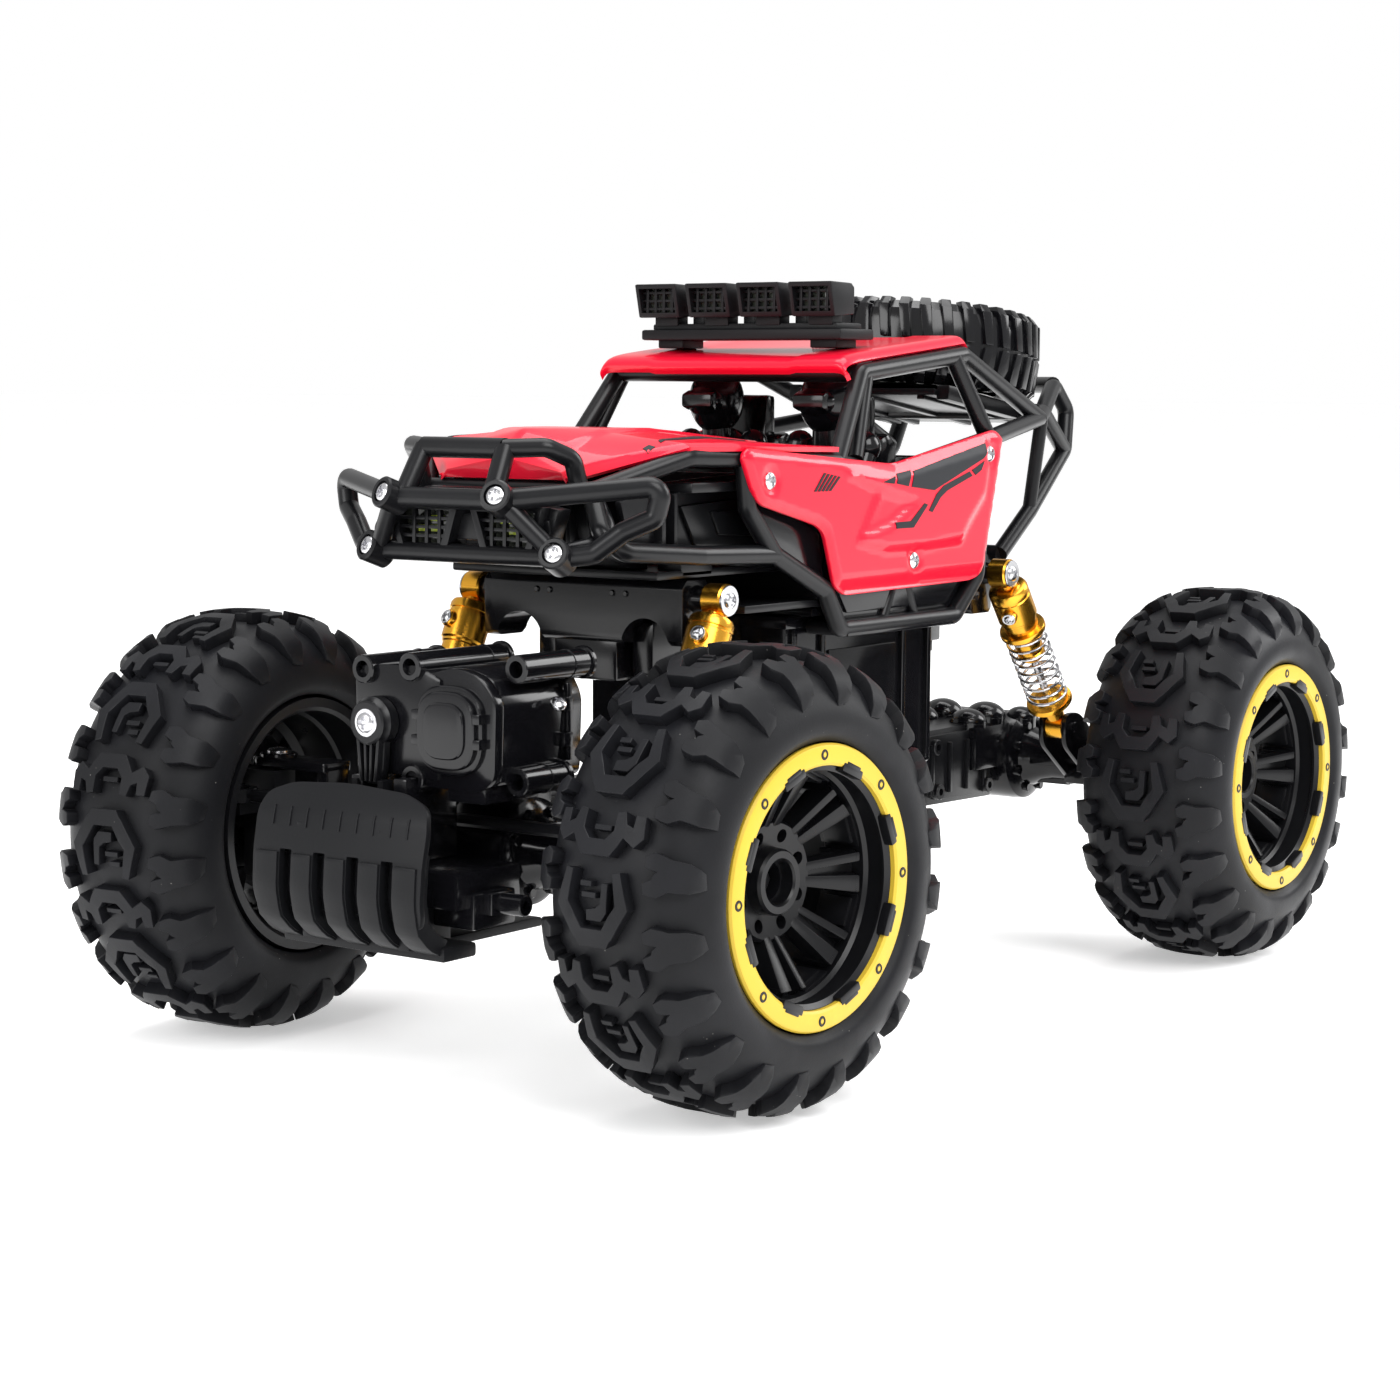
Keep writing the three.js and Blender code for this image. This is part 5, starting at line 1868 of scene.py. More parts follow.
@dataclass(frozen=True)
class Bumper:
    """The front bumper, its bosses and its two grilled lamps."""

    tube: float = 3.05

    def build(self, shop: Workshop) -> None:
        """Makes the bumper, its screws and lamps.

        Args:
            shop: the shared node trees.
        """
        low, high, wing = (151.5, 33.8, 150.6), (160.2, 19.9, 166.7), (137.1, 59.6, 171.1)
        hoop = (152.1, 15.1, 181.0)
        runs = both([high, wing, (138, 57.5, 162), (143, 50, 158), (147, 43, 152), low])
        runs += [[hoop, (hoop[0], -hoop[1], hoop[2])], [high, (high[0], -high[1], high[2])]]
        runs += both([high, (159.6, 16.5, 167.4), hoop])
        frame = Draft().merge_mesh(shop.tube(runs, self.tube, Look.SATIN, 3.0, 18))
        thin = both([(151.1, 34.3, 149.8), (160.4, 19.4, 167.4)])
        thin += both([(152.4, 14.5, 181), (146, 25, 181.4), (139, 29, 178), (136, 29.5, 168.5)])
        thin += both([(151.0, 33.0, 151.5), (141, 38, 153.5), (133, 37, 158.0), (133, 31, 168.5)])
        thin += [[low, (low[0], -low[1], low[2])]]
        frame.merge_mesh(shop.tube(thin, self.tube - 0.3, Look.SATIN, 4.0, 16))
        forward = Vector((0.9, 0.25, 0.35)).normalized()
        cups = Draft()
        for point in (low, high):
            front = Vector(point) + forward * 4.8
            back = Vector(point) - forward * 3.6
            cups.sleeve(tuple(back), tuple(front), 4.7, 3.2, 0.5, 30)
            cups.rod(tuple(back), tuple(back + forward * 7.0), 3.4, steps=24)
        bridge = [(-27, 152.0), (27, 152.0), (24, 149.2), (-24, 149.2)]
        frame.merge(cups.mirrored())
        frame.prism(list(reversed(bridge)), Plane.YZ, 144.0, 150.5, 0.6)
        frame.prism([(-30, 165.6), (30, 165.6), (25, 169.4), (-25, 169.4)], Plane.YZ, 134.5, 141.0, 1.0)
        frame.piece("front_bumper_tubes", Look.SATIN, "root", ["front_bumper"])
        self._screws(shop, low, high, forward)
        self._lamps(shop)

    def _screws(self, shop: Workshop, low: Point, high: Point, forward: Vector) -> None:
        """Makes the four screws in the bosses.

        Args:
            shop: the shared node trees.
            low: a lower boss.
            high: an upper boss.
            forward: the way they face.
        """
        places = []
        for point in (low, high):
            for side in (-1, 1):
                ahead = Vector((forward.x, side * forward.y, forward.z))
                seat = Vector((point[0], side * point[1], point[2])) + ahead * 3.5
                places.append((tuple(seat), tuple(ahead)))
        heads = shop.on_points(PanScrew(3.0, 1.5).head(), places, Look.STEEL)
        Draft().merge_mesh(heads).piece("bumper_screws", Look.STEEL, "root")

    def _lamps(self, shop: Workshop) -> None:
        """Makes the trapezoid housings, grilles, lenses and light strips.

        Args:
            shop: the shared node trees.
        """
        housing, glass, strips = Draft(), Draft(), Draft()
        shell = [(2.0, 164.8), (6.6, 150.8), (24.6, 150.8), (29.2, 164.8)]
        hole = [(5.0, 163.0), (8.6, 152.8), (22.8, 152.8), (26.4, 163.0)]
        mouth = cut_away(
            Draft().prism(shell, Plane.YZ, 144.2, 153.0, 0.5),
                Draft().prism(hole, Plane.YZ, 147.0, 156.0, 0.0)
        )
        housing.merge(mouth)
        for k in range(1, 4):
            y = 5.0 + 4.8 * k
            housing.block((150.6, y - 0.6, 152.4), (152.2, y + 0.6, 163.4), 0.15)
        for k in range(1, 4):
            z = 152.8 + 2.55 * k
            housing.block((150.4, 6.6 - k * 0.4, z - 0.5), (151.9, 24.4 + k * 0.4, z + 0.5), 0.15)
        housing.prism([(24.6, 151.6), (28.0, 152.0), (32.2, 164.0), (28.6, 164.6)], Plane.YZ, 143.5, 149.5,
            0.6)
        housing.block((145.0, 26.0, 156.0), (150.4, 29.5, 161.0), 0.6)
        glass.prism(hole, Plane.YZ, 147.2, 148.4, 0.2)
        strips.block((148.2, 12.5, 156.4), (149.2, 20.5, 158.4), 0.3)
        strips.block((148.2, 10.5, 159.4), (149.2, 15.5, 161.2), 0.3)
        housing.mirrored()
        housing.block((144.0, -8.0, 154.5), (149.5, 8.0, 162.0), 0.6)
        housing.piece("bumper_lamp_housings", Look.SATIN, "root", ["bumper_lamps"])
        glass.mirrored().piece("bumper_lamp_glass", Look.LENS, "root")
        strips.mirrored().piece("bumper_lamp_strips", Look.LED, "root")


@dataclass(frozen=True)
class LightBar:
    """The roof light bar: a ribbed base and four hooded lamps with grilles."""

    pitch: float = 20.14
    width: float = 16.4
    bottom: float = 221.0
    top: float = 231.9

    def _lamp(self) -> Draft:
        """One hooded lamp round y = 0, facing +X.

        Returns:
            The lamp.
        """
        half = self.width / 2
        low, high = self.bottom, self.top
        case = [(6.6, low + 0.8), (18.0, low), (20.6, high), (8.4, high - 0.3), (6.6, high - 1.6)]
        body = Draft().prism(case, Plane.XZ, -half, half, 0.6)
        mouth = Draft().block((15.4, -half + 1.4, low + 1.6), (24, half - 1.4, high - 1.5), 0.0)
        lamp = cut_away(body, mouth)
        for k in range(4):
            y = -half + 1.6 + (self.width - 3.2) * (k + 0.5) / 4
            lamp.block((16.4, y - 0.5, low + 1.4), (17.8, y + 0.5, high - 1.2), 0.15)
        for k in range(3):
            z = low + 1.6 + (high - low - 3.1) * (k + 0.5) / 3
            lamp.block((16.2, -half + 1.2, z - 0.42), (17.6, half - 1.2, z + 0.42), 0.15)
        lamp.block((8, -4.6, 218.4), (14, 4.6, low + 1.2), 0.5)
        lamp.block((6.2, -half + 2.0, high - 4.4), (8.0, half - 2.0, high - 2.6), 0.3)
        return lamp

    def build(self) -> None:
        """Makes the bar and its lenses."""
        bar, glass = Draft(), Draft()
        bar.block((-3.9, -39.1, 213.8), (15.8, 39.1, 217.2), 0.8)
        bar.block((-1.5, -36.0, 216.8), (13.5, 36.0, 219.1), 0.7)
        for y in (-30, 30):
            bar.block((0, y - 5, 211.2), (12, y + 5, 214.5), 0.6)
        for slot in (-1.5, -0.5, 0.5, 1.5):
            shift = Matrix.Translation((0, slot * self.pitch, 0))
            bar.merge(self._lamp(), shift)
            pane = Draft().block((15.2, -6.8, self.bottom + 1.4), (15.8, 6.8, self.top - 1.4), 0.15)
            glass.merge(pane, shift)
        for y in (-20.14, 0, 20.14):
            bar.block((1, y - 2.2, 218.6), (10, y + 2.2, 221.6), 0.5)
        bar.piece("hooded_light_bar", Look.MATTE, "root", ["roof_light_bar"])
        glass.piece("light_bar_lenses", Look.LENS, "root")


@dataclass(frozen=True)
class SpareTyre:
    """The moulded spare tyre lying on its tray."""

    radius: float = 40.9
    width: float = 29.6
    bars: int = 34

    def build(self, shop: Workshop) -> None:
        """Makes the tyre, standing on its axis first and then laid down.

        Args:
            shop: the shared node trees.
        """
        w = self.width / 2
        section = [
            (0, -w + 5), (15, -w + 5), (20, -w + 1.6), (28, -w + 0.4), (34.5, -w + 1.2), (38.2, -w + 4.2),
                (39.2, -w + 8),
            (39.2, w - 8), (38.2, w - 4.2), (34.5, w - 1.2), (28, w - 0.4), (20, w - 1.6), (15, w - 5),
                (0, w - 5),
        ]
        tyre = Draft().turned(section, steps=104)
        bar = Draft()
        for side in (-1, 1):
            tread = hexahedron(
                [(37.6, side * 0.5, -3.0), (37.6, side * 0.5, 0.8), (40.9, side * 0.5, 0.5),
                    (40.9, side * 0.5, -2.7)],
                [(37.0, side * (w - 3), -1.6), (37.0, side * (w - 3), 2.9), (40.2, side * (w - 3), 2.5),
                    (40.2, side * (w - 3), -1.2)],
                0.35,
            )
            shoulder = hexahedron(
                [(35.0, side * (w - 3.4), -1.6), (35.0, side * (w - 3.4), 2.9),
                    (40.1, side * (w - 3.4), 2.6), (40.1, side * (w - 3.4), -1.2)],
                [(33.0, side * (w - 0.3), -1.2), (33.0, side * (w - 0.3), 2.6),
                    (37.4, side * (w - 0.3), 2.3), (37.4, side * (w - 0.3), -0.9)],
                0.35,
            )
            bar.merge(tread).merge(shoulder)
        tyre.merge_mesh(shop.around(bar, self.bars, Look.GLOSS))
        lay = Matrix.Translation(centre_mm("spare_tyre")) @ Matrix.Rotation(SPARE_TILT, 4, "Y")
        lay = lay @ Matrix.Rotation(math.pi / 2, 4, "X")
        tyre.piece("moulded_spare_tyre", Look.GLOSS, "root", ["spare_tyre"], lay)


def refinish(node: str, look: Look) -> None:
    """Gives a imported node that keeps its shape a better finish.

    Args:
        node: the node's name.
        look: its finish.
    """
    kept = bpy.data.objects[node]
    kept.data.materials.clear()
    kept.data.materials.append(look.built)
    LOG.info("%s keeps its packed shape", node)


# ------------------------------------------------------------------ shock absorbers


@dataclass(frozen=True)
class Shock:
    """One coil-over shock, drawn hanging from its upper eye along -Z and then set between its pins."""

    end: str
    side: int
    keep: float
    pins: dict[str, Point]
    foot: Flat = (118.0, 80.0)
    wire: float = 0.85
    coil: float = 6.9
    turns: float = 8.5
    start: float = 26.6

    @property
    def name(self) -> str:
        """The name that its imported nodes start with."""
        return f"{self.end}_{'left' if self.side > 0 else 'right'}_shock"

    @property
    def upper(self) -> Vector:
        """Upper pin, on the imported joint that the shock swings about."""
        return Vector(self.pins[f"{self.name}_swing"]) / MM

    @property
    def lower(self) -> Vector:
        """Lower pin."""
        ahead = 1 if self.end == "front" else -1
        return Vector((ahead * self.foot[0], self.upper.y, self.foot[1]))

    @property
    def place(self) -> Matrix:
        """Turns the drawing onto the line between the pins.

        Returns:
            The matrix.
        """
        line = (self.lower - self.upper).normalized()
        turn = Vector((0, 0, -1)).rotation_difference(line).to_matrix().to_4x4()
        return Matrix.Translation(self.upper) @ turn

    def build(self, shop: Workshop) -> None:
        """Makes the body, the spring and the rod.

        Args:
            shop: the shared node trees.
        """
        length = (self.lower - self.upper).length
        self._body(shop)
        self._spring(shop, length)
        self._rod(shop, length)

    def _eye_screws(self, shop: Workshop, depth: float, body: str, label: str) -> None:
        """Makes the washer and screw on the outer face of an eye.

        Args:
            shop: the shared node trees.
            depth: distance below the upper pin.
            body: the CAD body it moves with.
            label: which eye it is.
        """
        outward = self.side
        washer = Draft().sleeve((0, outward * 3.5, -depth), (0, outward * 4.2, -depth), 4.6, 1.6, 0.15, 32)
        places = [((0, outward * 4.1, -depth), (0, outward, 0))]
        washer.merge_mesh(shop.on_points(PanScrew(2.5, 1.2).head(), places, Look.STEEL))
        washer.piece(f"{self.name}_{label}_screw", Look.STEEL, body, place=self.place)

    def _body(self, shop: Workshop) -> None:
        """Makes the gold body with its cap, side screw and inner barrel.

        Args:
            shop: the shared node trees.
        """
        body = Draft()
        body.sleeve((0, -3.5, 0), (0, 3.5, 0), 5.0, 2.0, 0.5, 36)
        body.rod((0, 0, -3.6), (0, 0, -7.0), 2.6, 3.0, 0.2)
        cap = [
            (0, -5.4), (4.6, -5.4), (6.4, -6.2), (6.9, -7.2), (6.9, -9.0), (6.5, -9.3), (6.5, -9.9),
                (6.9, -10.2),
            (6.9, -18.6), (6.3, -19.2), (6.3, -19.9), (5.9, -20.3), (5.9, -23.4), (7.9, -23.8),
                (8.1, -24.4),
            (8.1, -25.4), (7.8, -25.8), (4.8, -26.0), (4.8, -33.0), (4.4, -33.4), (4.4, -34.2),
                (4.8, -34.6),
            (4.8, -36.4), (3.6, -37.7), (2.2, -38.0), (0, -38.0),
        ]
        body.turned(cap, axis=(0, 0, 1), steps=48)
        body.rod((5.6, self.side * 1.4, -13.6), (8.0, self.side * 2.0, -13.6), 2.7, steps=24)
        body.piece(f"{self.name}_gold_body", Look.GOLD, f"{self.name}_body", [f"{self.name}_body"],
            self.place)
        plug = Draft().sleeve((7.9, self.side * 2.0, -13.6), (8.5, self.side * 2.15, -13.6), 2.3, 1.0,
            0.15, 24)
        plug.merge_mesh(shop.on_points(PanScrew(1.8, 0.9).head(),
            [((8.1, self.side * 2.05, -13.6), (1, 0.2 * self.side, 0))], Look.STEEL))
        plug.piece(f"{self.name}_bleed_screw", Look.STEEL, f"{self.name}_body", place=self.place)
        self._eye_screws(shop, 0.0, f"{self.name}_body", "upper")

    def _spring(self, shop: Workshop, length: float) -> None:
        """Makes the spring.

        Args:
            shop: the shared node trees.
            length: distance between the pins.
        """
        finish_at = length - 14.3
        steps = int(self.turns * 22)
        run = []
        for k in range(steps + 1):
            share = k / steps
            angle = TAU * self.turns * share
            flat = 0.04 * math.sin(TAU * share) / TAU
            down = self.start + (finish_at - self.start) * (share - flat)
            run.append((self.coil * math.cos(angle), self.coil * math.sin(angle), -down))
        spring = Draft().merge_mesh(shop.tube([run], self.wire / 1.6, Look.STEEL, 0.01, 8))
        piece = spring.piece(f"{self.name}_coil", Look.STEEL, f"{self.name}_body", [f"{self.name}_spring"],
            self.place)
        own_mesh(piece)

    def _rod(self, shop: Workshop, length: float) -> None:
        """Makes the steel rod, the spring seat and the lower eye.

        Args:
            shop: the shared node trees.
            length: distance between the pins.
        """
        rod = Draft().rod((0, 0, -30.0), (0, 0, -(length - 10)), 1.4)
        rod.piece(f"{self.name}_steel_rod", Look.STEEL, f"{self.name}_rod", place=self.place)
        foot = Draft()
        seat = [
            (0, -(length - 15.4)), (4.2, -(length - 15.2)), (5.6, -(length - 13.4)),
                (8.0, -(length - 13.0)),
            (8.2, -(length - 12.5)), (8.2, -(length - 11.4)), (7.8, -(length - 11.0)),
                (4.4, -(length - 10.6)),
            (3.8, -(length - 8.4)), (3.4, -(length - 5.0)), (0, -(length - 3.6)),
        ]
        foot.turned(seat, axis=(0, 0, 1), steps=40)
        foot.sleeve((0, -3.4, -length), (0, 3.4, -length), 4.5, 1.9, 0.4, 32)
        foot.piece(f"{self.name}_gold_foot", Look.GOLD, f"{self.name}_rod", [f"{self.name}_rod"],
            self.place)
        self._eye_screws(shop, length, f"{self.name}_rod", "lower")


# ------------------------------------------------------------------ chassis


@dataclass(frozen=True)
class Chassis:
    """The tub, its towers, the inner body and the seated figures."""

    def build(self, shop: Workshop) -> None:
        """Makes every fixed black moulding.

        Args:
            shop: the shared node trees.
        """
        self._tub()
        self._tower("front", 91.0)
        self._tower("rear", -76.0)
        self._inner_body()
        self._cabin(shop)
        for node, look in (
            ("battery_door", Look.MATTE), ("battery_pack", Look.CELL), ("circuit_board", Look.BOARD),
        ):
            refinish(node, look)

    def _tub(self) -> None:
        """The open tub with its flange, ribs and pivot cheeks."""
        tub = cut_away(
            Draft().block((-44, -38, 74), (44, 38, 128), 1.6, 3),
                Draft().block((-42, -36, 76), (42, 36, 140), 0.6)
        )
        opening = Draft().block((-33, -19, 70), (33, 19, 79), 0.0)
        tub = cut_away(tub, opening)
        rim = cut_away(
            Draft().block((-45.6, -39.6, 124.0), (45.6, 39.6, 128.0), 0.7),
                Draft().block((-42, -36, 120), (42, 36, 140), 0.0)
        )
        tub.merge(rim)
        for side in (-1, 1):
            for x in (-40, -24, 24, 40):
                low, high = sorted((side * 37.6, side * 39.4))
                tub.block((x - 1.2, low, 76), (x + 1.2, high, 124.5), 0.4)
            low, high = sorted((side * 37.6, side * 38.8))
            tub.block((-20, low, 84), (20, high, 116), 0.5)
            tub.block((-30, low, 74.4), (30, high, 78.5), 0.5)
            for end in (-1, 1):
                y0, y1 = sorted((side * 14.6, side * 19.0))
                x0, x1 = sorted((end * 43, end * 58))
                tub.block((x0, y0, 74), (x1, y1, 88), 1.6)
                tub.rod((end * 52, side * 18.4, 80), (end * 52, side * 21.0, 80), 4.2)
                near, far = sorted((end * 43, end * 46.4))
                tub.block((near, y0 - 1, 88), (far, y1 + 1, 118), 0.6)
        for end in (-1, 1):
            tub.rod((end * 52, -18.0, 80), (end * 52, 18.0, 80), 3.0)
        for side in (-1, 1):
            low, high = sorted((side * 28, side * 37))
            tub.block((-26, low, 103), (26, high, 105.7), 0.4)
        tub.piece("glossy_tub", Look.GLOSS, "root", ["chassis_tub"])

    def _tower(self, end: str, x: float) -> None:
        """A cross beam with chamfers, an arch, ribs and the shock pins.

        Args:
            end: front or rear.
            x: place along the car.
        """
        ahead = 1 if x > 0 else -1
        beam = Draft()
        profile = [(-7, 123.5), (-5.4, 122), (5.4, 122), (7, 123.5), (7, 139.4), (4.6, 142), (-4.6, 142),
            (-7, 139.4)]
        beam.prism([(x + u, z) for u, z in profile], Plane.XZ, -38, 38, 0.6)
        arch = Draft().rod((x - 9, 24, 121), (x + 9, 24, 121), 9.0).rod((x - 9, -24, 121),
            (x + 9, -24, 121), 9.0)
        tower = cut_away(beam, arch)
        for side in (-1, 1):
            inner = ahead * 44.2
            x0, x1 = sorted((inner, x))
            y0, y1 = sorted((side * 14, side * 22))
            tower.block((x0, y0, 112), (x1, y1, 128), 1.0)
            tower.block((x0, y0 + 3, 108), (x1, y1 - 3, 113), 0.6)
            tower.rod((x, side * 36, 136), (x, side * 42.3, 136), 4.4, 3.6)
            tower.rod((x, side * 40, 136), (x, side * 50, 136), 1.8)
            for y in (12, 17):
                tower.rod((x + ahead * 6.6, side * y, 137), (x + ahead * 7.6, side * y, 137), 1.0, steps=16)
        tower.block((x - 5, -12, 110), (x + 5, 12, 123), 1.2)
        tower.piece(f"{end}_tower_beam", Look.GLOSS, "root", [f"{end}_shock_tower"])

    def _inner_body(self) -> None:
        """The black inner body under the hood: floor, side walls, nose box and its grooves."""
        body = Draft()
        body.prism([(46, 143), (84, 146), (126, 152), (131, 166), (110, 171), (46, 174)], Plane.XZ, 37.5,
            40.0, 0.8)
        body.prism([(60, 150), (96, 152), (104, 164), (62, 166)], Plane.XZ, 39.6, 41.6, 0.8)
        body.prism([(68, 154), (86, 155), (90, 162), (70, 162)], Plane.XZ, 41.2, 42.6, 0.6)
        body.block((47, 39.0, 168), (108, 48.5, 171.0), 0.6)
        body.block((84, 30, 142.5), (100, 39, 149), 0.8)
        for x in (52, 108, 114):
            body.block((x - 1, 38.5, 148), (x + 1, 43.0, 168), 0.4)
        body.mirrored()
        body.prism([(100, 142.4), (127, 150.5), (131.5, 167), (122, 170.5), (100, 168)], Plane.XZ, -27, 27,
            1.2)
        body.block((46, -39, 142.4), (112, 39, 145.0), 0.8)
        body.block((42, -50, 131.6), (83, 50, 134.0), 0.6)
        body.block((40, -50, 131.6), (44, 50, 172), 0.8)
        for y in range(-22, 23, 4):
            body.block((126.5, y - 0.8, 153.5), (132.4, y + 0.8, 165.0), 0.3)
        body.piece("inner_nose", Look.SATIN, "root")

    def _figure(self, y: float, shop: Workshop) -> Draft:
        """A plain seated figure with a visored helmet and gloved hands on its knees or wheel.

        Args:
            y: place across the car.
            shop: the shared node trees.

        Returns:
            The figure.
        """
        figure = Draft()
        figure.ball((-3, y, 186.5), (9.2, 8.0, 9.6), 28)
        figure.ball((3.2, y, 186.2), (4.6, 6.4, 4.4), 20)
        figure.prism([(4.6, 183.4), (8.0, 184.6), (8.0, 188.0), (4.4, 189.4)], Plane.XZ, y - 5.4, y + 5.4,
            0.8)
        figure.rod((-4, y, 174), (-3, y, 180), 5.0, 4.4, steps=20)
        figure.ball((-7, y, 166), (8.0, 12.4, 13.0), 28)
        figure.ball((-4, y, 155), (8.5, 10.4, 9.5), 24)
        for side in (-1, 1):
            figure.ball((-6, y + side * 11.6, 173.6), (4.6, 4.6, 4.8), 18)
            arm = [(-6, y + side * 12.0, 173), (2, y + side * 13.0, 161), (15, y + side * 7.0, 163)]
            figure.merge_mesh(shop.tube([arm], 3.4, Look.GLOSS, 4.0, 14))
            figure.ball((17, y + side * 6.4, 163.6), (3.8, 3.2, 3.4), 16)
            leg = [(-8, y + side * 6, 150), (12, y + side * 7, 153), (21, y + side * 7, 137)]
            figure.merge_mesh(shop.tube([leg], 4.6, Look.GLOSS, 5.0, 14))
            figure.prism(
                [(-14, 177), (-3, 176), (2, 168), (-2, 156), (-14, 156)], Plane.XZ,
                y + side * 8.0 - 1.4, y + side * 8.0 + 1.4, 1.0,
            )
        return figure

    def _cabin(self, shop: Workshop) -> None:
        """The cabin floor, seats, dash, steering wheel and two figures.

        Args:
            shop: the shared node trees.
        """
        cabin = Draft()
        cabin.block((-58, -48, 128.3), (44, 48, 131.0), 0.8)
        cabin.prism([(22, 130), (36, 130), (40, 174), (31, 176.5), (24, 171)], Plane.XZ, -46, 46, 1.4)
        cabin.block((-56, -46, 130), (-52, 46, 176), 1.0)
        cabin.prism([(-52, 131), (-30, 131), (-36, 172), (-50, 176)], Plane.XZ, -6, 6, 1.0)
        sitting = Matrix.Translation((0, 0, 140)) @ Matrix.Diagonal((1.08, 1.1, 1.17,
            1)) @ Matrix.Translation((0, 0, -140))
        for y in (-20, 20):
            cabin.prism([(-24, 131), (12, 131), (14, 143), (-14, 146)], Plane.XZ, y - 14, y + 14, 2.0)
            cabin.prism([(-26, 140), (-13, 142), (-19, 182), (-25, 184), (-30, 180)], Plane.XZ, y - 12.5,
                y + 12.5, 2.0)
            cabin.prism([(-25, 178), (-18, 178), (-20, 196), (-25, 196)], Plane.XZ, y - 7, y + 7, 1.6)
            cabin.merge(self._figure(y, shop), sitting)
        rim = Draft().turned(
            [(9.0 + 1.2 * math.cos(TAU * k / 10), 1.2 * math.sin(TAU * k / 10)) for k in range(10)],
            (20, 22, 166), (-0.8, 0, 0.45), 40, closed=True,
        )
        rim.rod((20, 22, 166), (29, 22, 161), 1.8)
        rim.rod((20, 13.2, 166), (20, 30.8, 166), 0.9)
        cabin.merge(rim)
        cabin.piece("cabin_and_crew", Look.GLOSS, "root", ["interior_tray"])


# ------------------------------------------------------------------ axles


@dataclass(frozen=True)
class Axle:
    """What both live axles share, drawn round the axle's centre with the car's end towards +X."""

    end: str
    centre: Point
    turned_round: bool
    reach: float

    @property
    def place(self) -> Matrix:
        """Where the axle stands."""
        turn = math.pi if self.turned_round else 0.0
        return Matrix.Translation(self.centre) @ Matrix.Rotation(turn, 4, "Z")

    @property
    def body(self) -> str:
        """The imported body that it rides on."""
        return f"{self.end}_axle"

    def _housing(self) -> Draft:
        """The differential case, the tubes and the shock feet.

        Returns:
            The housing.
        """
        case = [
            (0, -21.5), (9.6, -21.5), (13.5, -20.4), (15.6, -18.6), (16.0, -16.0), (16.0, -3.4),
                (15.3, -3.0),
            (15.3, -2.2), (16.0, -1.8), (16.0, 16.0), (15.6, 18.6), (13.5, 20.4), (9.6, 21.5), (0, 21.5),
        ]
        housing = Draft().turned(case, steps=72)
        half = Draft()
        tube = [
            (0, 19.0), (11.4, 19.0), (10.4, 23.0), (8.6, 27.0), (8.0, 32.0), (8.0, 48.0), (8.6, 48.6),
                (8.6, 52.4),
            (8.0, 53.0), (7.8, self.reach - 3.2), (8.4, self.reach - 2.6), (8.4, self.reach),
                (0, self.reach),
        ]
        half.turned(tube, steps=48)
        for y in (46 - 4.5, 46 + 4.5):
            foot = rounded([(-31, 9), (-31, 20), (-21, 20), (-4, 7), (-4, -5), (-10, -6)], 4.0)
            half.prism(list(reversed(foot)) if area(foot) < 0 else foot, Plane.XZ, y - 0.9, y + 0.9, 0.3)
        half.rod((-26, 39.4, 15), (-26, 52.6, 15), 1.8)
        half.block((-12, 40.6, -7.4), (2, 51.4, -2), 1.0)
        half.block((-3, 22, -9.4), (3, 38, 9.4), 0.8)
        half.block((-9.4, 22, -2), (9.4, 38, 2), 0.8)
        housing.merge(half.mirrored())
        for k in range(8):
            angle = TAU * (k + 0.5) / 8
            for side in (-1, 1):
                x, z = 12.2 * math.cos(angle), 12.2 * math.sin(angle)
                housing.rod((x, side * 19.6, z), (x, side * 22.4, z), 1.6, steps=12)
        return housing

    def _tongue(self) -> Draft:
        """The arm to the pivot: a ribbed box with screw bosses.

        Returns:
            The arm.
        """
        tongue = Draft()
        profile = [(-15, -14), (-60, -13), (-88, -6), (-97, 8), (-98, 19), (-93, 22), (-84, 20), (-74, 14),
            (-15, 14)]
        tongue.prism(profile, Plane.XZ, -12.6, 12.6, 1.4)
        half = Draft()
        half.prism([(-18, -12), (-56, -11), (-70, -4), (-70, 8), (-60, 12), (-18, 12)], Plane.XZ, 12.2,
            14.0, 0.7)
        for x in (-24, -36, -48, -60):
            half.block((x - 1.0, 13.4, -9), (x + 1.0, 15.2, 9), 0.4)
        for x, z in ((-22, 10), (-58, 8), (-22, -9), (-56, -8)):
            half.sleeve((x, 13.0, z), (x, 16.0, z), 2.8, 1.3, 0.3, 20)
        half.rod((-92, 11.0, 15), (-92, 14.0, 15), 5.4)
        tongue.merge(half.mirrored())
        return tongue


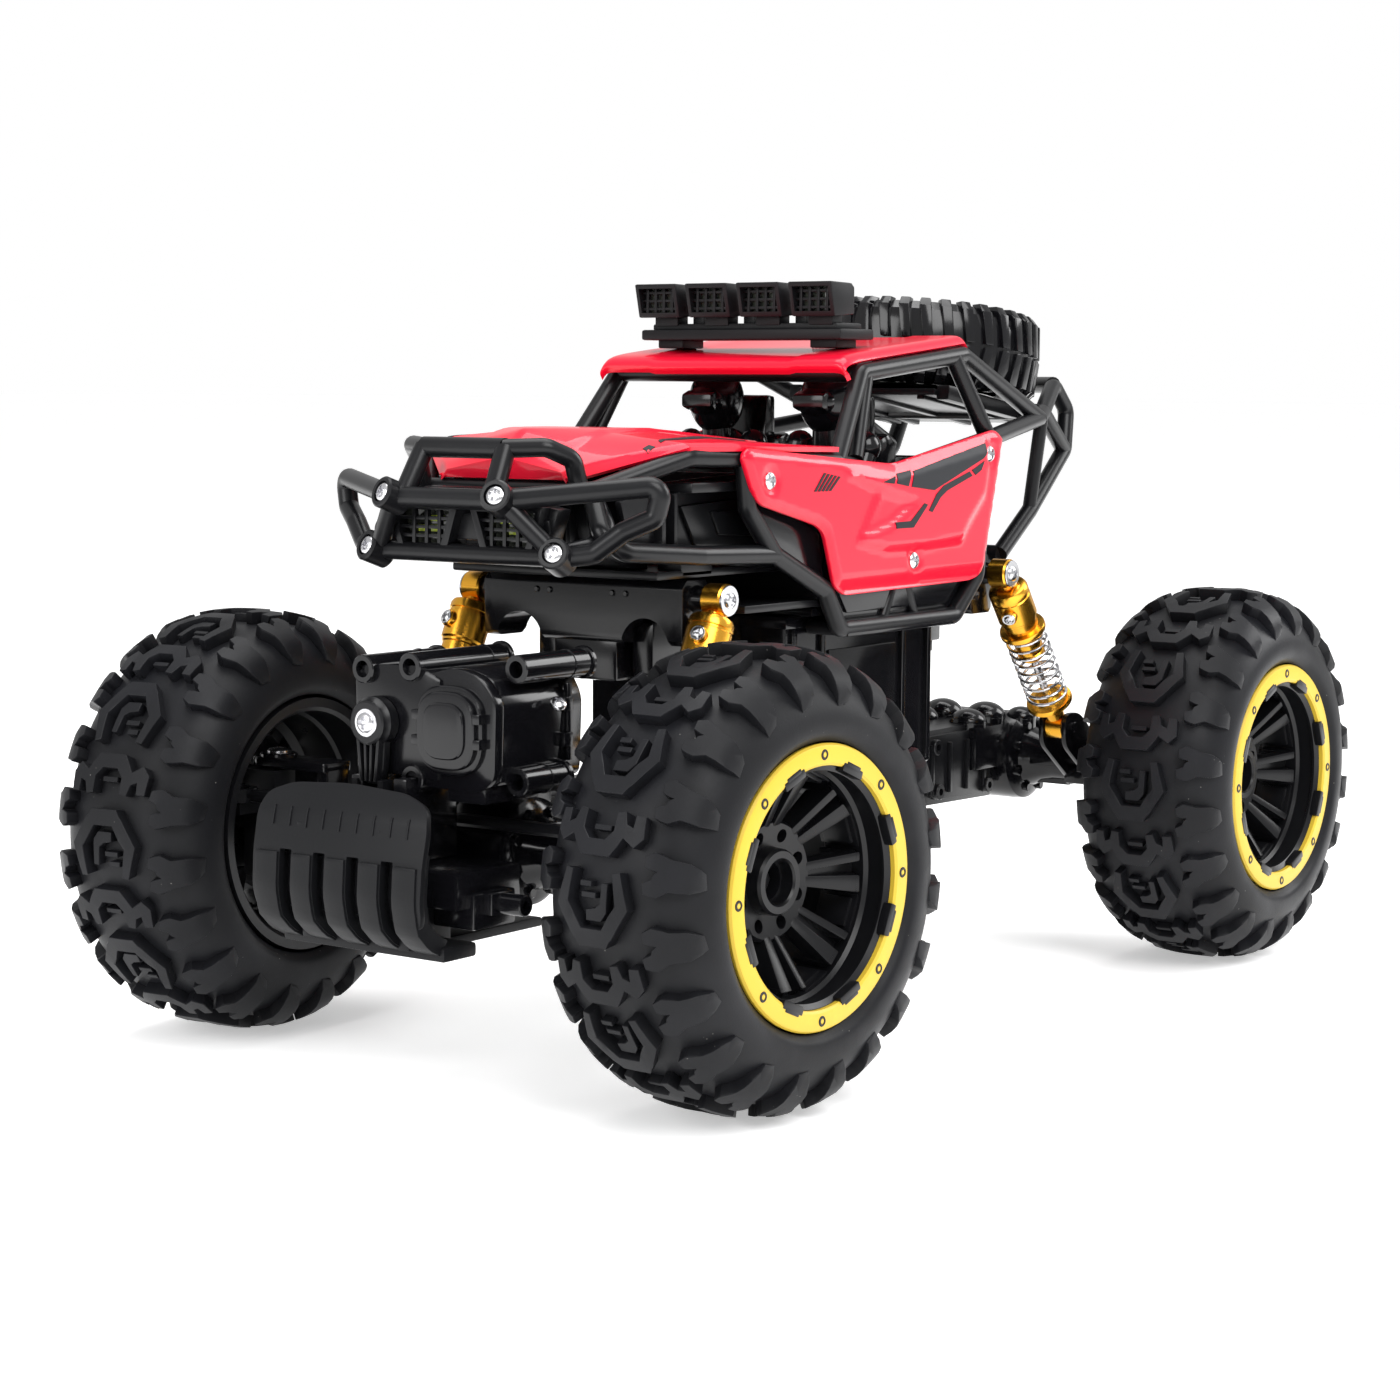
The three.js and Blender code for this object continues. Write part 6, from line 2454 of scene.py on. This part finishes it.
@dataclass(frozen=True)
class FrontAxle(Axle):
    """The steered front axle with its servo case, linkage and skid plate."""

    def build(self, shop: Workshop) -> None:
        """Makes the front axle.

        Args:
            shop: the shared node trees.
        """
        housing = self._housing()
        fork = Draft()
        for low, high in ((-20.0, -17.0), (17.0, 20.0)):
            arm = rounded([(-6, 57), (6, 57), (6, 86), (4, 89), (-4, 89), (-6, 86)], 1.5)
            fork.prism(arm, Plane.XY, low, high, 0.6)
        fork.block((-5, 57, -18.5), (5, 61.5, 18.5), 0.8)
        fork.block((-1.2, 60, 9), (1.2, 74, 18), 0.4)
        fork.block((-1.2, 60, -18), (1.2, 74, -9), 0.4)
        for z0, z1 in ((19.4, 21.2), (-21.2, -19.4)):
            fork.rod((0, 82, z0), (0, 82, z1), 5.6)
        housing.merge(fork.mirrored())
        housing.block((-12, -8, 12.5), (8, 16, 24.7), 1.0)
        housing.piece("front_axle_case", Look.GLOSS, self.body, ["front_axle_housing"], self.place)
        screws = [((0, side * 82, 21.1), (0, 0, 1)) for side in (-1, 1)]
        Draft().merge_mesh(shop.on_points(PanScrew(3.4, 1.6).head(), screws, Look.STEEL)).piece(
            "kingpin_screws", Look.STEEL, self.body, place=self.place
        )
        self._tongue().piece("front_arm_box", Look.SATIN, self.body, ["front_tongue"], self.place)
        Steering(self.body).build(shop)
        for node, look in (
            ("front_motor", Look.STEEL), ("servo_motor", Look.STEEL), ("front_axle_shaft", Look.STEEL),
            ("front_pinion", Look.BRASS), ("left_knuckle", Look.SATIN), ("right_knuckle", Look.SATIN),
            ("tie_rod", Look.SATIN),
        ):
            refinish(node, look)


@dataclass(frozen=True)
class RearAxle(Axle):
    """The rear axle with its rounded gear bulges."""

    def build(self, shop: Workshop) -> None:
        """Makes the rear axle.

        Args:
            shop: the shared node trees.
        """
        housing = self._housing()
        for x, y, z, r in (
            (-14, 9, 15, 7.4), (-14, -9, 15, 7.4), (-28, 10, 14, 6.8), (-28, -10, 14, 6.8),
                (-2, 17, 14, 5.6),
            (-2, -17, 14, 5.6),
        ):
            housing.rod((x, y, 0), (x, y, z), r, steps=28)
            housing.ball((x, y, z), (r, r, r * 0.72), 24)
        housing.block((-34, -17, -3), (-4, 17, 13), 2.0)
        housing.piece("rear_axle_case", Look.GLOSS, self.body, ["rear_axle_housing"], self.place)
        self._tongue().piece("rear_arm_box", Look.SATIN, self.body, ["rear_tongue"], self.place)
        for node, look in (("rear_motor", Look.STEEL), ("rear_axle_shaft", Look.STEEL),
                ("rear_pinion", Look.BRASS)):
            refinish(node, look)


@dataclass(frozen=True)
class Steering:
    """The servo case on the front axle, its horn and the skid plate."""

    body: str
    horn_y: float = -3.0
    horn_z: float = 105.0
    guard: tuple[Flat, ...] = (
        (0, 201.0), (9, 205.2), (21, 207.6), (31, 208.3), (39, 206.8), (46, 202.0), (54, 195.0),
    )
    guard_drop: tuple[Flat, ...] = ((0, 89.2), (9, 80.8), (21, 69.0), (31, 59.0), (39, 51.2), (46, 46.4),
        (54, 43.0))

    def build(self, shop: Workshop) -> None:
        """Makes the whole front end of the axle.

        Args:
            shop: the shared node trees.
        """
        self._case()
        self._cover(shop)
        self._horn(shop)
        self._skid()

    def _case(self) -> None:
        """The servo case with its hollow screw tubes."""
        face = [(-12, 91), (18, 89.5), (19, 118), (10, 121.5), (-9, 121), (-12.5, 117)]
        case = Draft().prism(face, Plane.YZ, 150, 185.4, 1.0)
        case.prism([(-9, 93), (16, 92), (17, 117), (-8, 118)], Plane.YZ, 146, 152, 0.8)
        for y, z, start, end in (
            (-8.4, 119.4, 154, 186.8), (9.0, 121.0, 146, 186.8), (9.0, 89.5, 168, 186.0),
                (39.6, 121.4, 147, 177.6),
            (38.6, 90.0, 156, 176.0),
        ):
            case.sleeve((start, y, z), (end, y, z), 4.0, 2.4, 0.3, 32)
            case.rod((start, y, z), (end - 5.0, y, z), 3.4, steps=24)
            case.sleeve((start + 8.4, y, z), (start + 9.0, y, z), 4.25, 3.0, 0.1, 32)
            case.sleeve((start, y, z), (start + 1.6, y, z), 4.7, 3.0, 0.3, 32)
        case.block((160, 20, 84), (184, 34, 90), 1.0)
        case.block((166, -17, 55.5), (194, 32, 66.0), 1.4)
        case.block((172, 20, 50), (190, 35, 60.0), 1.0)
        case.block((176, 33.6, 54), (186, 38, 60.0), 0.6)
        case.sleeve((181, 36, 57), (181, 46, 57), 3.0, 1.4, 0.3, 20)
        case.block((168, -10, 66), (190, -5.6, 90), 0.8)
        case.block((168, 5.6, 66), (190, 10.5, 90), 0.8)
        case.piece("servo_case", Look.GLOSS, self.body, ["steering_gearbox_case"])

    def _cover(self, shop: Workshop) -> None:
        """The motor cover: a chamfered flange, a rounded dome and its clips.

        Args:
            shop: the shared node trees.
        """
        flange = rounded([(7.6, 92), (12, 87.5), (32, 87), (37.6, 91), (38.2, 113), (33, 119.4),
            (24, 121.6), (12, 118.8), (7.8, 119)], 3.0)
        cover = Draft().prism(flange, Plane.YZ, 180.6, 184.4, 0.7)
        body = rounded([(17, 89), (37.4, 89), (38.2, 112), (34, 119), (26, 121.4), (17, 121.4)], 3.0)
        cover.prism(body, Plane.YZ, 146, 181.2, 0.9)
        for grow, x0, x1 in ((0.0, 184.0, 186.2), (1.6, 186.0, 187.8), (4.6, 187.6, 188.8)):
            y0, y1, z0, z1 = 10.6 + grow, 34.4 - grow, 91.6 + grow, 116.6 - grow
            dome = rounded([(y0, z0), (y1, z0), (y1, z1), (y0, z1)], 10.5 - grow, 8)
            cover.prism(dome, Plane.YZ, x0 - 0.6, x1, 0.9, 3)
        for y in (10.2, 30.8):
            for z in (99.6, 106.6):
                cover.block((184.2, y, z), (187.6, y + 4.0, z + 2.8), 0.3)
        for z in (98, 108):
            cover.block((152, 37.6, z), (156, 39.6, z + 4), 0.4)
        cover.block((152, 37.4, 94), (154, 39.2, 116), 0.4)
        cover.piece("servo_cover", Look.GLOSS, self.body, ["servo_motor_cover"])
        screws = [((162, 42.0, 111.0), (0.3, 0.5, 0.85)), ((158, 36.6, 121.0), (0, 0, 1))]
        Draft().merge_mesh(shop.on_points(PanScrew(2.4, 1.2).head(), screws, Look.STEEL)).piece(
            "servo_case_screws", Look.STEEL, self.body
        )

    def _horn(self, shop: Workshop) -> None:
        """The servo horn with its grooves, washer and screw.

        Args:
            shop: the shared node trees.
        """
        y, z = self.horn_y, self.horn_z
        horn = Draft()
        horn.turned([(0, 0), (7.0, 0), (7.2, 0.4), (7.2, 3.4), (6.4, 4.4), (6.2, 5.4), (5.6, 5.8),
            (0, 5.8)], (185.6, y, z), (1, 0, 0), 44)
        arm = [(y - 5.2, z), (y - 4.2, z - 13), (y - 2.4, z - 17.4), (y + 2.4, z - 17.4),
            (y + 4.2, z - 13), (y + 5.2, z)]
        horn.prism(arm, Plane.YZ, 186.4, 189.0, 0.5)
        for offset in (-3.9, -1.2, 1.2, 3.9):
            edge = 0.55 if abs(offset) > 2 else 0.45
            horn.prism(
                [(y + offset - edge, z - 3), (y + offset * 0.66 - edge, z - 16.6),
                    (y + offset * 0.66 + edge, z - 16.6),
                 (y + offset + edge, z - 3)], Plane.YZ, 188.4, 190.8, 0.3,
            )
        horn.piece("servo_horn", Look.SATIN, "servo_arm", ["servo_arm"])
        places = [((191.4, y, z), (1, 0, 0))]
        screw = Draft().merge_mesh(shop.on_points(PanScrew(3.0, 1.4).head(), places, Look.STEEL))
        screw.sleeve((191.0, y, z), (191.7, y, z), 4.0, 2.0, 0.15, 36)
        screw.piece("servo_horn_screw", Look.STEEL, "servo_arm")

    def _bent(self, flat: Vector) -> Vector:
        """Bends the flat guard: x is its depth, z its distance down from the top.

        Args:
            flat: the point before bending.

        Returns:
            The bent point.
        """
        down = -flat.z
        x, z = along(self.guard, down), along(self.guard_drop, down)
        ahead = Vector((along(self.guard, down + 1) - along(self.guard, down - 1),
                        along(self.guard_drop, down + 1) - along(self.guard_drop, down - 1))).normalized()
        normal = Vector((-ahead.y, ahead.x))
        return Vector((x + normal.x * flat.x, flat.y, z + normal.y * flat.x))

    def _skid(self) -> None:
        """The slotted skid plate and its mounting leg."""
        outline = [
            (-31, -36), (-24, -47), (-18, -51), (18, -51), (24, -47), (31, -36), (31.5, -10), (29.5, -4.2),
                (21, -1.0),
            (0, 0.4), (-21, -1.0), (-29.5, -4.2), (-31.5, -10),
        ]
        slots = Draft()
        for k in range(4):
            y = (k - 1.5) * 12.5
            slots.prism(rounded([(y - 2.2, -60), (y + 2.2, -60), (y + 2.2, -20), (y - 2.2, -20)], 0.5),
                Plane.YZ, -6, 6, 0.0)
        guard = cut_away(Draft().prism(rounded(outline, 3.0), Plane.YZ, -2.2, 0.0, 0.6), slots)
        for k in range(5):
            y = (k - 2) * 12.5
            inner, outer = (3.6, 3.6) if abs(k - 2) < 2 else (3.6, 4.6)
            low, high = (inner, outer) if k > 2 else (outer, inner)
            rib = [(y - low, -52.0), (y + high, -52.0), (y + high, -21), (y - low, -21)]
            guard.prism(rib, Plane.YZ, -4.4, 0.7, 0.35)
        guard.block((-5.6, -29.0, -44.0), (-4.2, 29.0, -17.0), 0.3)
        for k in range(9):
            y = (k - 4) * 6.2
            guard.prism([(y - 0.3, -13.5), (y + 0.3, -13.5), (y + 0.3, -8), (y - 0.3, -8)], Plane.YZ, -0.4,
                0.35, 0.12)
        guard = warped(gridded(guard, 2.6, (2,)), self._bent)
        guard.block((136, -15.6, 41.6), (196, 15.6, 44.4), 0.8)
        guard.block((182, -20, 44), (200, -15, 60), 1.0)
        guard.block((182, 15, 44), (200, 20, 60), 1.0)
        guard.block((184, -29, 41.8), (198, 31, 46.0), 1.2)
        guard.prism([(198, 46), (206, 52), (206, 78), (198, 66)], Plane.XZ, -16, -14, 0.5)
        guard.prism([(198, 46), (206, 52), (206, 78), (198, 66)], Plane.XZ, 14, 16, 0.5)
        guard.piece("ribbed_skid_plate", Look.MATTE, self.body, ["front_skid_plate"])


def main() -> None:
    """Builds the dressed car, its floor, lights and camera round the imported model."""
    logging.basicConfig(level=logging.INFO, format="%(name)s %(message)s")
    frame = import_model()
    pins = {joint["name"]: joint["pos_m"] for joint in frame["joints"] if "pos_m" in joint}
    bpy.context.scene.view_settings.view_transform = "Standard"
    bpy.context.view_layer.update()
    shop = Workshop()
    Studio().build()
    for wheel in (
        Wheel("front_left", "front_left_wheel", -TOE_DEGREES),
        Wheel("front_right", "front_right_wheel", TOE_DEGREES),
        Wheel("rear_left", "rear_wheels"), Wheel("rear_right", "rear_wheels"),
    ):
        wheel.build(shop)
    SidePanel(1).build(shop)
    SidePanel(-1).build(shop)
    Hood().build()
    Roof().build()
    Cage().build(shop)
    Bumper().build(shop)
    LightBar().build()
    SpareTyre().build(shop)
    Chassis().build(shop)
    FrontAxle("front", (AXLE_X, 0, AXLE_Z), False, 65.0).build(shop)
    RearAxle("rear", (-AXLE_X, 0, AXLE_Z), True, 66.5).build(shop)
    for end, keep in SPRING_KEEP.items():
        for side in (-1, 1):
            Shock(end, side, keep, pins).build(shop)


if __name__ == "__main__":
    main()
